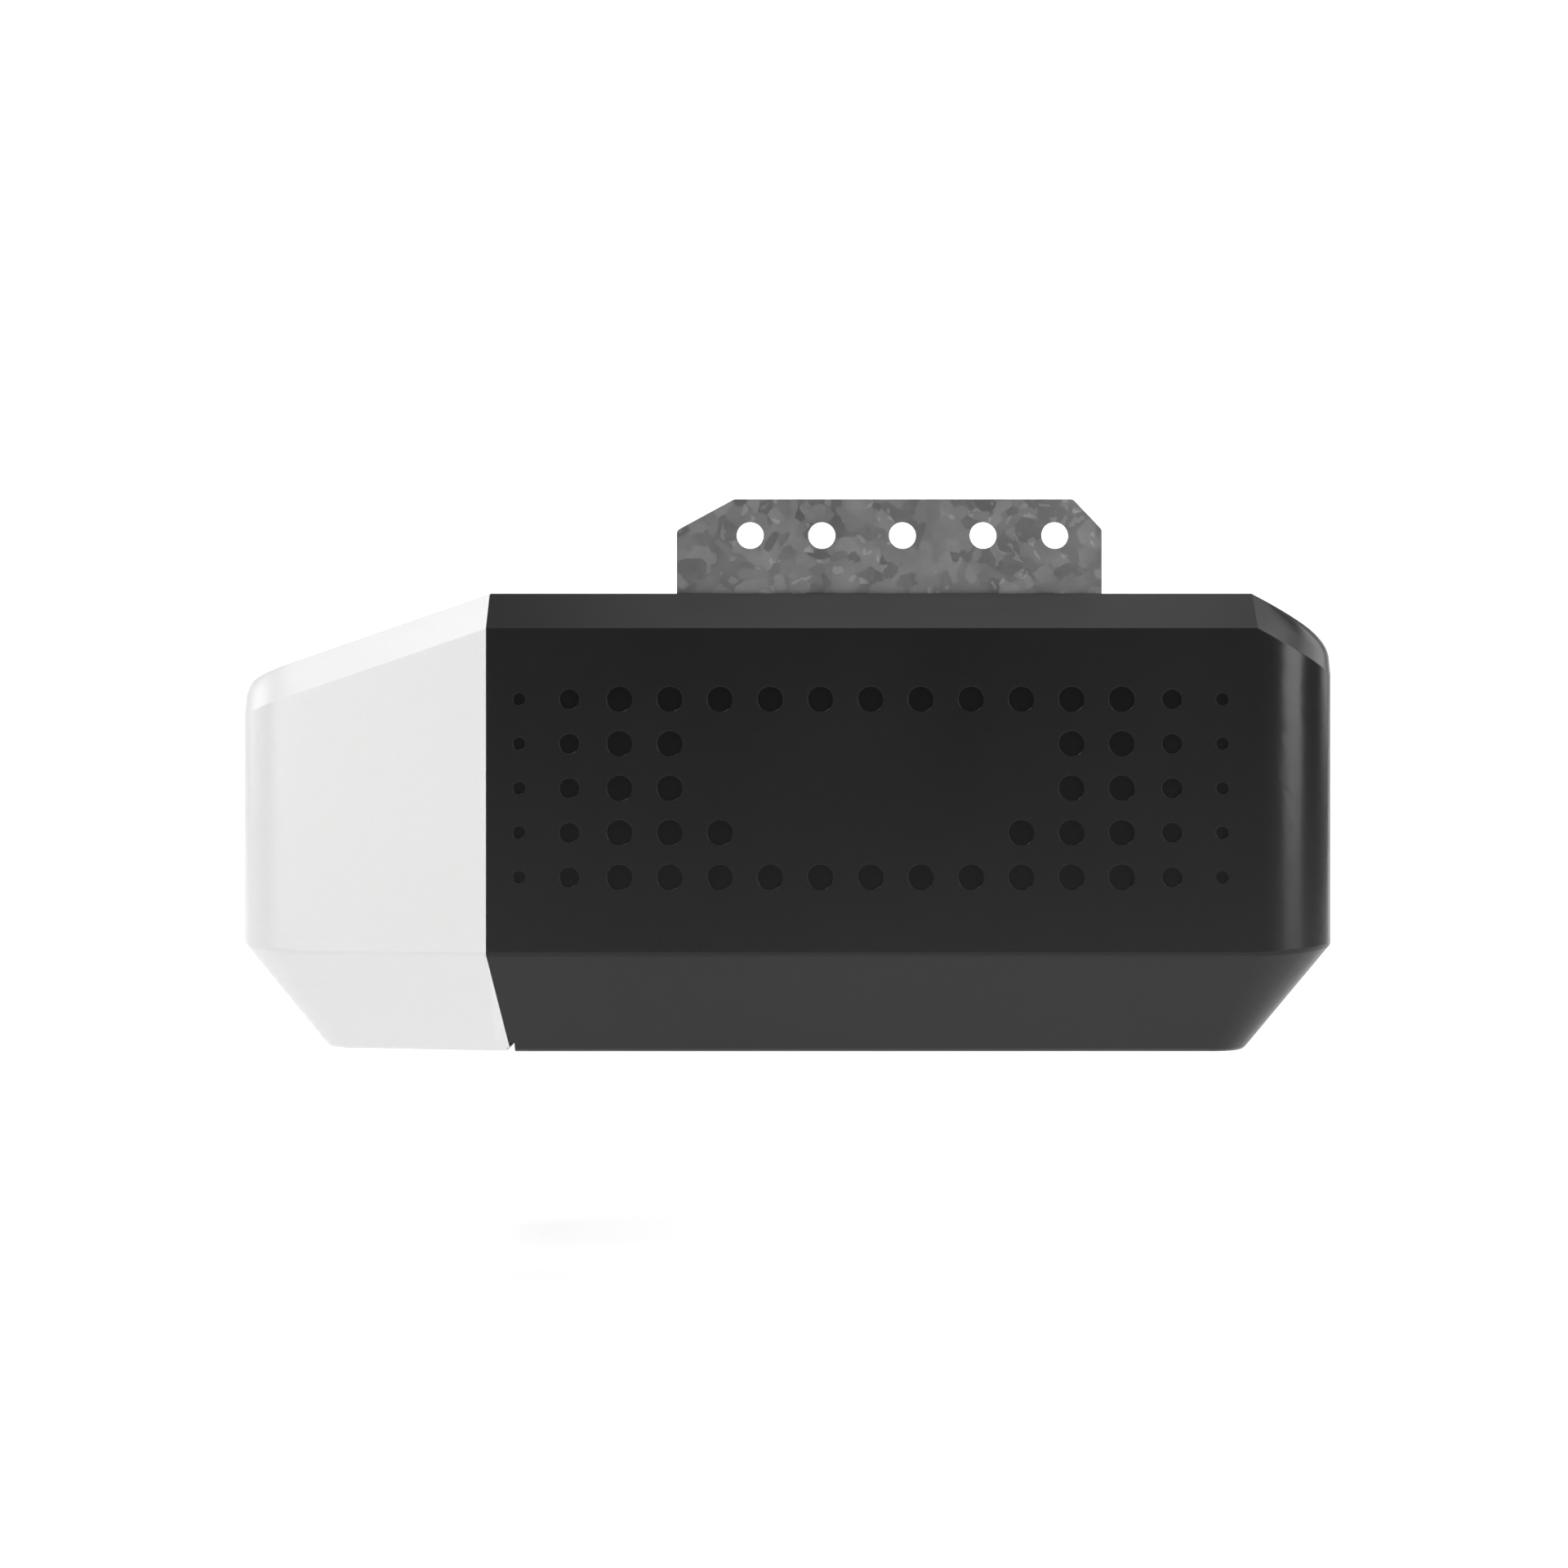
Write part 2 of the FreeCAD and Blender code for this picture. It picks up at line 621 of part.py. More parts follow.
def upper_form(inset):
    """Upright walls, rim chamfers and sloped ends, with rounded upright corners."""
    lower = RIM_RATE * inset
    section = [(-HALF_WIDTH + inset, -RIM_INSET), (HALF_WIDTH - inset, -RIM_INSET)]
    for side in (1, -1):
        rim = [(side * (HALF_WIDTH - inset), TOP_CREASE_Z - lower)]
        rim.append((side * (HALF_WIDTH - inset - RIM_INSET), BODY_HEIGHT - lower))
        section += rim[::side]
    middle = prism_x(section, (PARTING_X, END_SLOPE_X))
    control_end = end_zone(inset, END_SLOPE_X, 0.0, END_SLOPE_DEG, END_RIM_INSET)
    lamp_end = end_zone(inset, -PARTING_X, LENS_TAPER, LENS_SLOPE_DEG, LENS_RIM_INSET)
    return middle.fuse(control_end).fuse(lamp_end.mirror(Vector(0, 0, 0), Vector(1, 0, 0)))


def lower_form(inset):
    """Hopper that tapers in to the underside, carried on above the body."""
    end_rate = LOW_END_INSET / LOW_END_Z
    side_rate = LOW_SIDE_INSET / LOW_SIDE_Z
    end_shift = inset * math.hypot(1, end_rate)
    side_shift = inset * math.hypot(1, side_rate)
    wires = []
    for z in (inset, 1.25 * BODY_HEIGHT):
        x = HALF_LENGTH + (z - LOW_END_Z) * end_rate - end_shift
        y = HALF_WIDTH + (z - LOW_SIDE_Z) * side_rate - side_shift
        y_lens = y - LENS_TAPER * (x + PARTING_X)
        r = FOOT_CORNER_R + (CORNER_R - FOOT_CORNER_R) * z / CORNER_GROWTH_HEIGHT - inset
        points = [(x, -y), (x, y), (PARTING_X, y), (-x, y_lens), (-x, -y_lens), (PARTING_X, -y)]
        wires.append(rounded_outline([Vector(a, b, z) for a, b in points], (r, r, 0, r, r, 0)))
    return Part.makeLoft(wires, True, True)


@functools.lru_cache(maxsize=None)
def form(inset):
    """The closed body shape, moved in by inset on every face."""
    return upper_form(inset).common(lower_form(inset))


def softened_form():
    """The outer form with its moulded lower edges."""
    margin = 2.0
    shape = rounded(form(0), LOW_CREASE_R, lambda p: LOW_SIDE_Z - margin < p.z < LOW_END_Z + margin)
    return rounded(shape, FOOT_R, lambda p: abs(p.z) < 0.01)


def lamp_side(shift):
    """Everything on the lamp side of the parting line, moved by shift along X."""
    outline = [
        (-BIG, -BIG), (PARTING_FOOT_X + shift, -BIG), (PARTING_FOOT_X + shift, 0),
        (PARTING_X + shift, LOW_SIDE_Z), (PARTING_X + shift, BIG), (-BIG, BIG),
    ]
    return prism_y(outline, (-BIG, BIG))


# ---------------------------------------------------------------- cover
def dimples():
    """Shallow round recesses in rows, smaller towards each end of the wall."""
    cutters = []
    for row in range(DIMPLE_ROWS):
        z = DIMPLE_TOP_Z - row * DIMPLE_PITCH_Z
        for column in range(DIMPLE_COLUMNS):
            from_end = min(column, DIMPLE_COLUMNS - 1 - column)
            if from_end >= DIMPLES_PER_ROW_END[row]:
                continue
            radius = DIMPLE_RADII[min(from_end, 2)]
            x = DIMPLE_CENTRE_X + (column - (DIMPLE_COLUMNS - 1) / 2) * DIMPLE_PITCH_X
            for side in (-1, 1):
                cutters.append(rod_y(radius, x, about(side * HALF_WIDTH, DIMPLE_DEPTH), z))
    return Part.makeCompound(cutters)


def hinge_span(side, lens):
    """(low, high) along Y of the lens knuckle, or of the whole hinge, on one side."""
    reach = 0.0 if lens else KNUCKLE_GAP + COVER_KNUCKLE
    return about(side * HINGE_Y, LENS_KNUCKLE / 2 + reach)


def cover_knuckles():
    knuckles = []
    for side in (-1, 1):
        inner, outer = hinge_span(side, True), hinge_span(side, False)
        for y in ((outer[0], inner[0] - KNUCKLE_GAP), (inner[1] + KNUCKLE_GAP, outer[1])):
            knuckle = rod_y(KNUCKLE_R, HINGE_X, y, HINGE_Z)
            web = box((HINGE_X, HINGE_X + KNUCKLE_WEB), y, (HINGE_Z - KNUCKLE_R, HINGE_Z))
            knuckles.append(knuckle.fuse(web).cut(rod_y(PIN_R, HINGE_X, past(y), HINGE_Z)))
    return knuckles


def cooling_slots():
    slots = []
    for i in range(SLOT_COUNT):
        x = SLOT_START_X + i * SLOT_PITCH
        slots.append(box((x, x + SLOT_WIDTH), about(0, SLOT_HALF_LENGTH), past((0, COVER_WALL))))
    return slots


def make_cover(outer):
    """Dark shell with vent dimples, a ledge for the chassis, cooling slots and the control window."""
    shell = outer.cut(form(COVER_WALL)).cut(lamp_side(0))
    ledge = box(LEDGE_X, about(0, LEDGE_HALF_WIDTH), (LEDGE_BOTTOM, BODY_HEIGHT - LEDGE_SINK))
    shell = shell.fuse(ledge.common(form(LEDGE_SINK)).cut(lamp_side(0)))
    opening = box(OPENING_X, about(0, OPENING_HALF_WIDTH), past((LEDGE_BOTTOM, BODY_HEIGHT)))
    pocket_y = about(0, PLATE_HALF_WIDTH + PLATE_GAP)
    pocket = box(past(PLATE_X, PLATE_GAP), pocket_y, (PLATE_BOTTOM, BODY_HEIGHT + OVERCUT))
    shell = without(shell, [opening, pocket, dimples()] + cooling_slots())
    ledge_z = past((LEDGE_BOTTOM, PLATE_BOTTOM))
    shell = without(shell, [rod_z(SCREW_R, x, y, ledge_z) for x, y in COVER_SCREWS])
    shell = shell.cut(box(END_CUT_X, WINDOW_Y, WINDOW_Z))
    shell = shell.cut(rod_x(INLET_HOLE_R, END_CUT_X, INLET_Y, INLET_Z))
    shell = shell.cut(rod_x(INLET_SEAT_R, (INLET_LIP_X[0], END_CUT_X[1]), INLET_Y, INLET_Z))
    for side in (-1, 1):
        notch_y = past(hinge_span(side, True), KNUCKLE_GAP)
        shell = shell.cut(box(HINGE_NOTCH_X, notch_y, (-OVERCUT, HINGE_NOTCH_TOP)))
    shell = shell.cut(box(FOOT_RELIEF_X, about(0, FOOT_RELIEF_HALF_Y), (-OVERCUT, FOOT_RELIEF_TOP)))
    return joined([shell] + cover_knuckles())


# ---------------------------------------------------------------- lens
def lens_lip():
    """Lip that stands inside the cover's mouth and lines up the joint, tied to the lens wall by a step."""
    above = box((-BIG, BIG), (-BIG, BIG), (LOW_SIDE_Z + LIP_CLEAR, BIG))
    hollow = form(LIP_INSET + LIP_WALL)
    lip = form(LIP_INSET).cut(hollow).common(box((LIP_START_X, LIP_END_X), (-BIG, BIG), (0, BIG)))
    step = form(LENS_WALL - LIP_STEP_BITE).cut(hollow)
    step = step.common(box((PARTING_X - LIP_STEP, PARTING_X - PARTING_GAP), (-BIG, BIG), (0, BIG)))
    return lip.fuse(step).common(above)


def make_lens(outer):
    """White light cover that swings down on two hinges at its foot."""
    lens = outer.cut(form(LENS_WALL)).common(lamp_side(-PARTING_GAP)).fuse(lens_lip())
    lens = lens.cut(box((-BIG, BIG), (-BIG, BIG), (-OVERCUT, LENS_FLOOR)))
    lens = lens.cut(box((LENS_FOOT_X, BIG), (-BIG, BIG), (-OVERCUT, LENS_FOOT_TOP)))
    knuckles = []
    for side in (-1, 1):
        inner = hinge_span(side, True)
        notch_y = past(hinge_span(side, False), KNUCKLE_GAP)
        lens = lens.cut(box(LENS_NOTCH_X, notch_y, (-OVERCUT, LENS_NOTCH_TOP)))
        knuckle = rod_y(KNUCKLE_R, HINGE_X, inner, HINGE_Z).fuse(box(ARM_X, inner, ARM_Z))
        knuckles.append(knuckle.cut(rod_y(PIN_R + RUNNING_GAP, HINGE_X, past(inner), HINGE_Z)))
    return fused([lens] + knuckles)


def make_hinge_pins():
    return [rod_y(PIN_R, HINGE_X, past(hinge_span(side, False), -PIN_END), HINGE_Z) for side in (-1, 1)]


# ---------------------------------------------------------------- chassis
def flange_outline():
    (left_run, left_drop), (right_run, right_drop) = FLANGE_CHAMFERS
    x0, x1 = FLANGE_X
    foot = PLATE_BOTTOM + SHEET / 2
    return [
        (x0, foot), (x1, foot), (x1, FLANGE_TOP - right_drop), (x1 - right_run, FLANGE_TOP),
        (x0 + left_run, FLANGE_TOP), (x0, FLANGE_TOP - left_drop),
    ]


def make_flange(side):
    """Upright hanger flange with clipped top corners, five bolt holes and a bend at its foot."""
    y = (PLATE_HALF_WIDTH - SHEET, PLATE_HALF_WIDTH)
    plate = prism_y(flange_outline(), y)
    clipped = [e for e in edges_along(plate, Vector(0, 1, 0)) if e.Vertexes[0].Z > PLATE_TOP]
    plate = plate.makeFillet(FLANGE_CORNER_R, clipped)
    for offset in HANGER_OFFSETS:
        plate = plate.cut(rod_y(HANGER_HOLE_R, HANGER_CENTRE_X + offset, past(y), HANGER_HOLE_Z))
    bend = box(FLANGE_X, (y[0] - BEND_R, y[0]), (PLATE_TOP, PLATE_TOP + BEND_R))
    bend = bend.cut(rod_x(BEND_R, FLANGE_X, y[0] - BEND_R, PLATE_TOP + BEND_R))
    flange = plate.fuse(bend)
    return flange if side > 0 else flange.mirror(Vector(0, 0, 0), Vector(0, 1, 0))


def make_chassis():
    """Top plate with its hanger flanges, stiffening beads, lamp tongue and weld nuts."""
    pieces = [box(PLATE_X, about(0, PLATE_HALF_WIDTH), (PLATE_BOTTOM, PLATE_TOP))]
    pieces += [make_flange(side) for side in (-1, 1)]
    for y in BEAD_YS:
        bead = rod_x(BEAD_R, BEAD_X, y, PLATE_TOP + BEAD_HEIGHT - BEAD_R)
        band = box(BEAD_X, (-BIG, BIG), (PLATE_TOP - BEAD_ROOT, PLATE_TOP + BEAD_HEIGHT))
        pieces.append(bead.common(band))
    pieces.append(box(LEG_X, about(0, LEG_HALF_WIDTH), (LEG_BOTTOM, PLATE_BOTTOM + SHEET / 2)))
    nut_z = (PLATE_BOTTOM - WELD_NUT_HEIGHT, PLATE_BOTTOM)
    pieces += [hexagon_z(WELD_NUT_FLATS, x, y, nut_z) for x, y in RAIL_BOLTS]
    plate_z = past((PLATE_BOTTOM, PLATE_TOP))
    screws = COVER_SCREWS + FRAME_SCREWS + TRANSFORMER_SCREWS + CLIP_SCREWS
    holes = [rod_z(SCREW_R, x, y, plate_z) for x, y in screws]
    holes += [rod_z(RAIL_BOLT_R, x, y, past((nut_z[0], PLATE_TOP))) for x, y in RAIL_BOLTS]
    holes += [rod_z(ISOLATOR_BOLT_R, x, y, plate_z) for x, y in ISOLATORS]
    holes += [rod_x(LEG_SCREW_R, past(LEG_X), y, z) for y, z in LEG_SCREWS]
    holes.append(rod_z(SHAFT_HOLE_R, SHAFT_X, 0, plate_z))
    return without(joined(pieces), holes)


def hex_screw(x, y, seat, tip, shank_r, head):
    """Hex washer-head screw pointing down from its seat."""
    washer_r, flats, height = head
    washer_top = seat + WASHER_THICKNESS
    washer = rod_z(washer_r, x, y, (seat, washer_top))
    hexagon = hexagon_z(flats, x, y, (washer_top, washer_top + height))
    return joined([washer, hexagon, rod_z(shank_r, x, y, (tip, seat))])


def make_chassis_screws():
    """The one kind of screw that fixes the cover, gear frame, transformer and capacitor to the plate."""
    places = COVER_SCREWS + FRAME_SCREWS + TRANSFORMER_SCREWS + CLIP_SCREWS
    return [hex_screw(x, y, PLATE_TOP, SCREW_TIP_Z, SCREW_R, SCREW_HEAD) for x, y in places]


def make_rail_strap():
    """Hat-section strap that holds the foot of the rail down on the chassis."""
    t = RAIL_STRAP_SHEET
    z0, z1 = PLATE_TOP, RAIL_STRAP_TOP
    inner, outer, foot = RAIL_CHANNEL_HALF, RAIL_CHANNEL_HALF + t, RAIL_FOOT_HALF
    outline = [
        (-foot, z0), (-inner, z0), (-inner, z1 - t), (inner, z1 - t), (inner, z0), (foot, z0),
        (foot, z0 + t), (outer, z0 + t), (outer, z1), (-outer, z1), (-outer, z0 + t), (-foot, z0 + t),
    ]
    strap = prism_x(outline, RAIL_STRAP_X)
    strap = rounded(strap, RAIL_BEND_R, lambda p: abs(abs(p.y) - outer) < 0.1 and abs(p.z - z1) < 0.1)
    return without(strap, [rod_z(RAIL_BOLT_R, x, y, past((z0, z0 + t))) for x, y in RAIL_BOLTS])


def make_rail_bolts():
    seat = PLATE_TOP + RAIL_STRAP_SHEET
    return [hex_screw(x, y, seat, RAIL_BOLT_TIP_Z, RAIL_BOLT_R, RAIL_BOLT_HEAD) for x, y in RAIL_BOLTS]


# ---------------------------------------------------------------- gears
def gear_outline(teeth, module, thickness, phase, addendum, dedendum, z):
    """Closed outline of an involute spur section; phase is the angle of one tooth's middle."""
    pitch_r = module * teeth / 2
    pressure_pitch = math.radians(PRESSURE_DEG)
    base_r = pitch_r * math.cos(pressure_pitch)
    root_r, tip_r = pitch_r - dedendum, pitch_r + addendum

    def half_angle(radius):
        pressure = math.acos(min(1.0, base_r / radius))
        spread = math.tan(pressure_pitch) - pressure_pitch - (math.tan(pressure) - pressure)
        return thickness / 2 / pitch_r + spread

    radii = [root_r, max(root_r, base_r), pitch_r, (pitch_r + tip_r) / 2, tip_r]
    points = []
    for tooth in range(teeth):
        middle = phase + 2 * math.pi * tooth / teeth
        flank = [(r, half_angle(r)) for r in radii]
        outline = [(r, middle - a) for r, a in flank] + [(r, middle + a) for r, a in reversed(flank)]
        points += [Vector(r * math.cos(a), r * math.sin(a), z) for r, a in outline]
    unique = [p for i, p in enumerate(points) if (p - points[i - 1]).Length > 1e-6]
    return Part.makePolygon(unique + [unique[0]])


def around(count, radius, start=0.0):
    """(dx, dy) of points spaced evenly round a circle."""
    for i in range(count):
        angle = start + 2 * math.pi * i / count
        yield radius * math.cos(angle), radius * math.sin(angle)


def make_drive_gear():
    """Helical wheel in mesh with the worm at its +Y side."""
    pitch_r = MODULE * GEAR_TEETH / 2
    helix_rate = MODULE / (2 * WORM_PITCH_R)
    half_twist = helix_rate * GEAR_WIDTH / 2 / pitch_r
    phase = math.pi / 2 + math.pi / GEAR_TEETH
    sections = []
    for z, twist in zip(GEAR_FACE_Z, (-half_twist, half_twist)):
        wire = gear_outline(GEAR_TEETH, MODULE, TOOTH_THICKNESS, phase + twist, MODULE, DEDENDUM, z)
        wire.translate(Vector(SHAFT_X, 0, 0))
        sections.append(wire)
    wheel = Part.makeLoft(sections, True, True)
    low, high = GEAR_FACE_Z
    for z in ((low - OVERCUT, low + GEAR_RECESS), (high - GEAR_RECESS, high + OVERCUT)):
        wheel = wheel.cut(ring_z(GEAR_RIM_R, GEAR_HUB_R, SHAFT_X, 0, z))
    wheel = wheel.cut(rod_z(SHAFT_R, SHAFT_X, 0, past(GEAR_FACE_Z)))
    return joined([wheel, ring_z(GEAR_HUB_R, SHAFT_R, SHAFT_X, 0, GEAR_HUB_Z)])


def make_worm():
    """Single-start right-hand thread on a sleeve, with a ridge facing the wheel at rest."""
    pitch = math.pi * MODULE
    length = WORM_TURNS * pitch
    slope = math.tan(math.radians(PRESSURE_DEG))
    root_r = WORM_PITCH_R - DEDENDUM
    buried_r = root_r - WORM_THREAD_ROOT
    tip_half = TOOTH_THICKNESS / 2 - MODULE * slope
    foot_half = TOOTH_THICKNESS / 2 + (WORM_PITCH_R - buried_r) * slope
    tip_r = WORM_PITCH_R + MODULE
    corners = [(buried_r, -foot_half), (tip_r, -tip_half), (tip_r, tip_half), (buried_r, foot_half)]
    profile = Part.makePolygon([Vector(r, 0, z) for r, z in corners + corners[:1]])
    thread = Part.Wire(Part.makeHelix(pitch, length, WORM_PITCH_R)).makePipeShell([profile], True, True)
    span = (-WORM_SHOULDER, length + WORM_SHOULDER)
    worm = joined([thread, rod_z(root_r, 0, 0, span)]).cut(rod_z(MOTOR_SHAFT_R, 0, 0, past(span)))
    # half way along, the ridge has turned by half of all the turns; it must end up facing -Y
    worm.rotate(Vector(0, 0, 0), Vector(0, 0, 1), -90 - 180 * WORM_TURNS)
    worm.rotate(Vector(0, 0, 0), Vector(0, 1, 0), 90)
    worm.translate(Vector(SHAFT_X - length / 2, MOTOR_Y, GEAR_Z))
    return worm


# ---------------------------------------------------------------- output shaft group
def make_output_shaft():
    shaft = rod_z(SHAFT_R, SHAFT_X, 0, SHAFT_Z)
    return shaft.makeChamfer(SHAFT_CHAMFER, [e for e in shaft.Edges if e.Closed])


def make_sprocket():
    """Chain wheel with round tooth gaps, lightening holes and a hub."""
    pitch_r = CHAIN_PITCH / 2 / math.sin(math.pi / SPROCKET_TEETH)
    wheel = rod_z(pitch_r + SPROCKET_TIP, SHAFT_X, 0, SPROCKET_Z)
    holes, hole_pitch_r, hole_r = SPROCKET_HOLES
    for dx, dy in around(SPROCKET_TEETH, pitch_r):
        wheel = wheel.cut(rod_z(ROLLER_R, SHAFT_X + dx, dy, past(SPROCKET_Z)))
    for dx, dy in around(holes, hole_pitch_r, math.pi / holes):
        wheel = wheel.cut(rod_z(hole_r, SHAFT_X + dx, dy, past(SPROCKET_Z)))
    hub = rod_z(SPROCKET_HUB_R, SHAFT_X, 0, SPROCKET_HUB_Z)
    return joined([wheel, hub]).cut(rod_z(SHAFT_R, SHAFT_X, 0, past(SPROCKET_HUB_Z)))


def make_shaft_clips():
    """Spring rings that hold the shaft up in its bushes and the sprocket on the shaft."""
    radius, thickness = CLIP_RING
    clips = []
    for bottom in CLIP_BOTTOMS:
        z = (bottom, bottom + thickness)
        mouth = box(CLIP_MOUTH_X, about(0, CLIP_MOUTH_HALF), past(z))
        clips.append(ring_z(radius, SHAFT_R, SHAFT_X, 0, z).cut(mouth))
    return clips


def travel_wheel(teeth, phase, axis_y, bore_r):
    low, high = TRAVEL_Z
    wire = gear_outline(teeth, TRAVEL_MODULE, TRAVEL_TOOTH, phase, TRAVEL_ADDENDUM, TRAVEL_DEDENDUM, low)
    wheel = Part.Face(wire).extrude(Vector(0, 0, high - low))
    wheel.translate(Vector(SHAFT_X, axis_y, 0))
    return wheel.cut(rod_z(bore_r, SHAFT_X, axis_y, past(TRAVEL_Z)))


def make_travel_gear():
    teeth = TRAVEL_TEETH[1]
    count, pitch_r, hole_r = TRAVEL_HOLES
    gear = travel_wheel(teeth, math.pi / 2 + math.pi / teeth, TRAVEL_AXIS_Y, TRAVEL_POST_R + RUNNING_GAP)
    for dx, dy in around(count, pitch_r, math.pi / count):
        gear = gear.cut(rod_z(hole_r, SHAFT_X + dx, TRAVEL_AXIS_Y + dy, past(TRAVEL_Z)))
    return gear


def make_travel_module():
    """Tray under the gear frame that carries the travel gear on a post."""
    hollow_z = (TRAY_Z[0] + TRAY_WALL, TRAY_Z[1] + OVERCUT)
    hollow = box(past(TRAY_X, -TRAY_WALL), past(TRAY_Y, -TRAY_WALL), hollow_z)
    tray = box(TRAY_X, TRAY_Y, TRAY_Z).cut(hollow)
    floor = TRAY_Z[0] + TRAY_WALL / 2
    post = rod_z(TRAVEL_POST_R, SHAFT_X, TRAVEL_AXIS_Y, (floor, TRAVEL_Z[1]))
    shoulder = rod_z(TRAVEL_SHOULDER_R, SHAFT_X, TRAVEL_AXIS_Y, (floor, TRAVEL_Z[0] - TRAVEL_SHOULDER_GAP))
    shaft_hole = rod_z(SHAFT_R + 2 * SEAT_GAP, SHAFT_X, 0, past((TRAY_Z[0], TRAY_Z[0] + TRAY_WALL)))
    return joined([tray, post, shoulder]).cut(shaft_hole)


# ---------------------------------------------------------------- gear frame and bushes
def make_gear_frame():
    """Folded steel box, open at the front and back, that holds both shafts' bushes."""
    t = FRAME_SHEET
    far_hole, motor_hole = FRAME_WORM_HOLES
    frame = box(FRAME_X, FRAME_Y, FRAME_Z)
    frame = frame.cut(box(past(FRAME_X, -t), past(FRAME_Y), past(FRAME_Z, -t)))
    holes = [
        rod_z(BUSH_R, SHAFT_X, 0, past(FRAME_Z)),
        rod_x(far_hole, past((FRAME_X[0], FRAME_X[0] + t)), MOTOR_Y, GEAR_Z),
        rod_x(motor_hole, past((FRAME_X[1] - t, FRAME_X[1])), MOTOR_Y, GEAR_Z),
    ]
    holes += [rod_z(SCREW_R, x, y, past((FRAME_Z[1] - t, FRAME_Z[1]))) for x, y in FRAME_SCREWS]
    return without(frame, holes)


def make_shaft_bushes():
    """Flanged bronze bushes in the top and bottom of the gear frame."""
    bore = SHAFT_R + RUNNING_GAP
    frame_floor = FRAME_Z[0] + FRAME_SHEET
    top = ring_z(BUSH_R, bore, SHAFT_X, 0, (TOP_BUSH_Z[0], PLATE_TOP))
    top_flange = ring_z(TOP_BUSH_FLANGE_R, bore, SHAFT_X, 0, (PLATE_TOP, TOP_BUSH_Z[1]))
    low = ring_z(BUSH_R, bore, SHAFT_X, 0, (FRAME_Z[0], frame_floor))
    low_flange = ring_z(LOW_BUSH_FLANGE_R, bore, SHAFT_X, 0, (frame_floor, LOW_BUSH_TOP))
    return [joined([top, top_flange]), joined([low, low_flange])]


# ---------------------------------------------------------------- motor
def motor_rod(radius, x, dy=0.0, dz=0.0):
    """Cylinder along X, placed from the motor's axis."""
    return rod_x(radius, x, MOTOR_Y + dy, GEAR_Z + dz)


def motor_ring(outer, inner, x):
    return motor_rod(outer, x).cut(motor_rod(inner, past(x)))


def turned(shape, degrees):
    """The shape turned about the motor's axis."""
    copy = shape.copy()
    copy.rotate(Vector(0, MOTOR_Y, GEAR_Z), Vector(1, 0, 0), degrees)
    return copy


def square_bar(x):
    """Square bar about the motor axis with clipped corners."""
    a, b = STATOR_HALF, STATOR_HALF - STATOR_CORNER
    outline = [(a, b), (b, a), (-b, a), (-a, b), (-a, -b), (-b, -a), (b, -a), (a, -b)]
    return prism_x([(MOTOR_Y + y, GEAR_Z + z) for y, z in outline], x)


def motor_bolt_offsets():
    return [(dy, dz) for dy in (-BOLT_OFFSET, BOLT_OFFSET) for dz in (-BOLT_OFFSET, BOLT_OFFSET)]


def slot_bars(x):
    """Radial bars that fill the stator slots."""
    radial = (MOTOR_Y + SLOT_R[0], MOTOR_Y + SLOT_R[1])
    bar = box(x, radial, about(GEAR_Z, STATOR_SLOT_HALF))
    return [turned(bar, 360 * (i + 0.5) / SLOTS) for i in range(SLOTS)]


def make_stator():
    core = square_bar(STATOR_X).cut(motor_rod(BORE_R, past(STATOR_X)))
    core = without(core, slot_bars(past(STATOR_X)))
    holes = [motor_rod(MOTOR_BOLT_R, past(STATOR_X), dy, dz) for dy, dz in motor_bolt_offsets()]
    return without(core, holes)


def make_windings():
    """Copper in the slots, joined at each end by a rounded ring of end turns."""
    pieces = slot_bars(STATOR_X)
    for end, direction in zip(STATOR_X, (-1, 1)):
        far = end + direction * WINDING_LENGTH
        ring = motor_ring(WINDING_R[1], WINDING_R[0], (min(end, far), max(end, far)))
        pieces.append(ring.makeFillet(WINDING_ROUND, circles_at(ring, far)))
    return joined(pieces)


def make_bell(x, outward):
    """End bell: a square cup over the end turns, with a hub and vents; outward is its plate's side."""
    hub_r, hub_length = BELL_HUB
    vents, vent_pitch_r, vent_r = BELL_VENTS
    if outward < 0:
        hollow_x, hub_x = (x[0] + BELL_PLATE, x[1]), (x[0], x[0] + hub_length)
    else:
        hollow_x, hub_x = (x[0], x[1] - BELL_PLATE), (x[1] - hub_length, x[1])
    bell = square_bar(x).cut(motor_rod(BELL_BORE_R, hollow_x))
    bell = bell.fuse(motor_rod(hub_r, hub_x)).cut(motor_rod(BEARING_R, past(x)))
    holes = [motor_rod(vent_r, past(x), dy, dz) for dy, dz in around(vents, vent_pitch_r, math.pi / vents)]
    holes += [motor_rod(MOTOR_BOLT_R, past(x), dy, dz) for dy, dz in motor_bolt_offsets()]
    return without(bell, holes)


def make_motor_bearings():
    """Plain bushes in both end bells, and a flanged one in the gear frame's far side."""
    bore = MOTOR_SHAFT_R + RUNNING_GAP
    hub_length = BELL_HUB[1]
    front = motor_ring(BEARING_R, bore, (FRONT_BELL_X[0], FRONT_BELL_X[0] + hub_length))
    rear = motor_ring(BEARING_R, bore, (REAR_BELL_X[1] - hub_length, REAR_BELL_X[1]))
    nose = motor_ring(BEARING_R, bore, NOSE_BEARING_X)
    return [front, rear, joined([nose, motor_ring(NOSE_FLANGE_R, bore, NOSE_FLANGE_X)])]


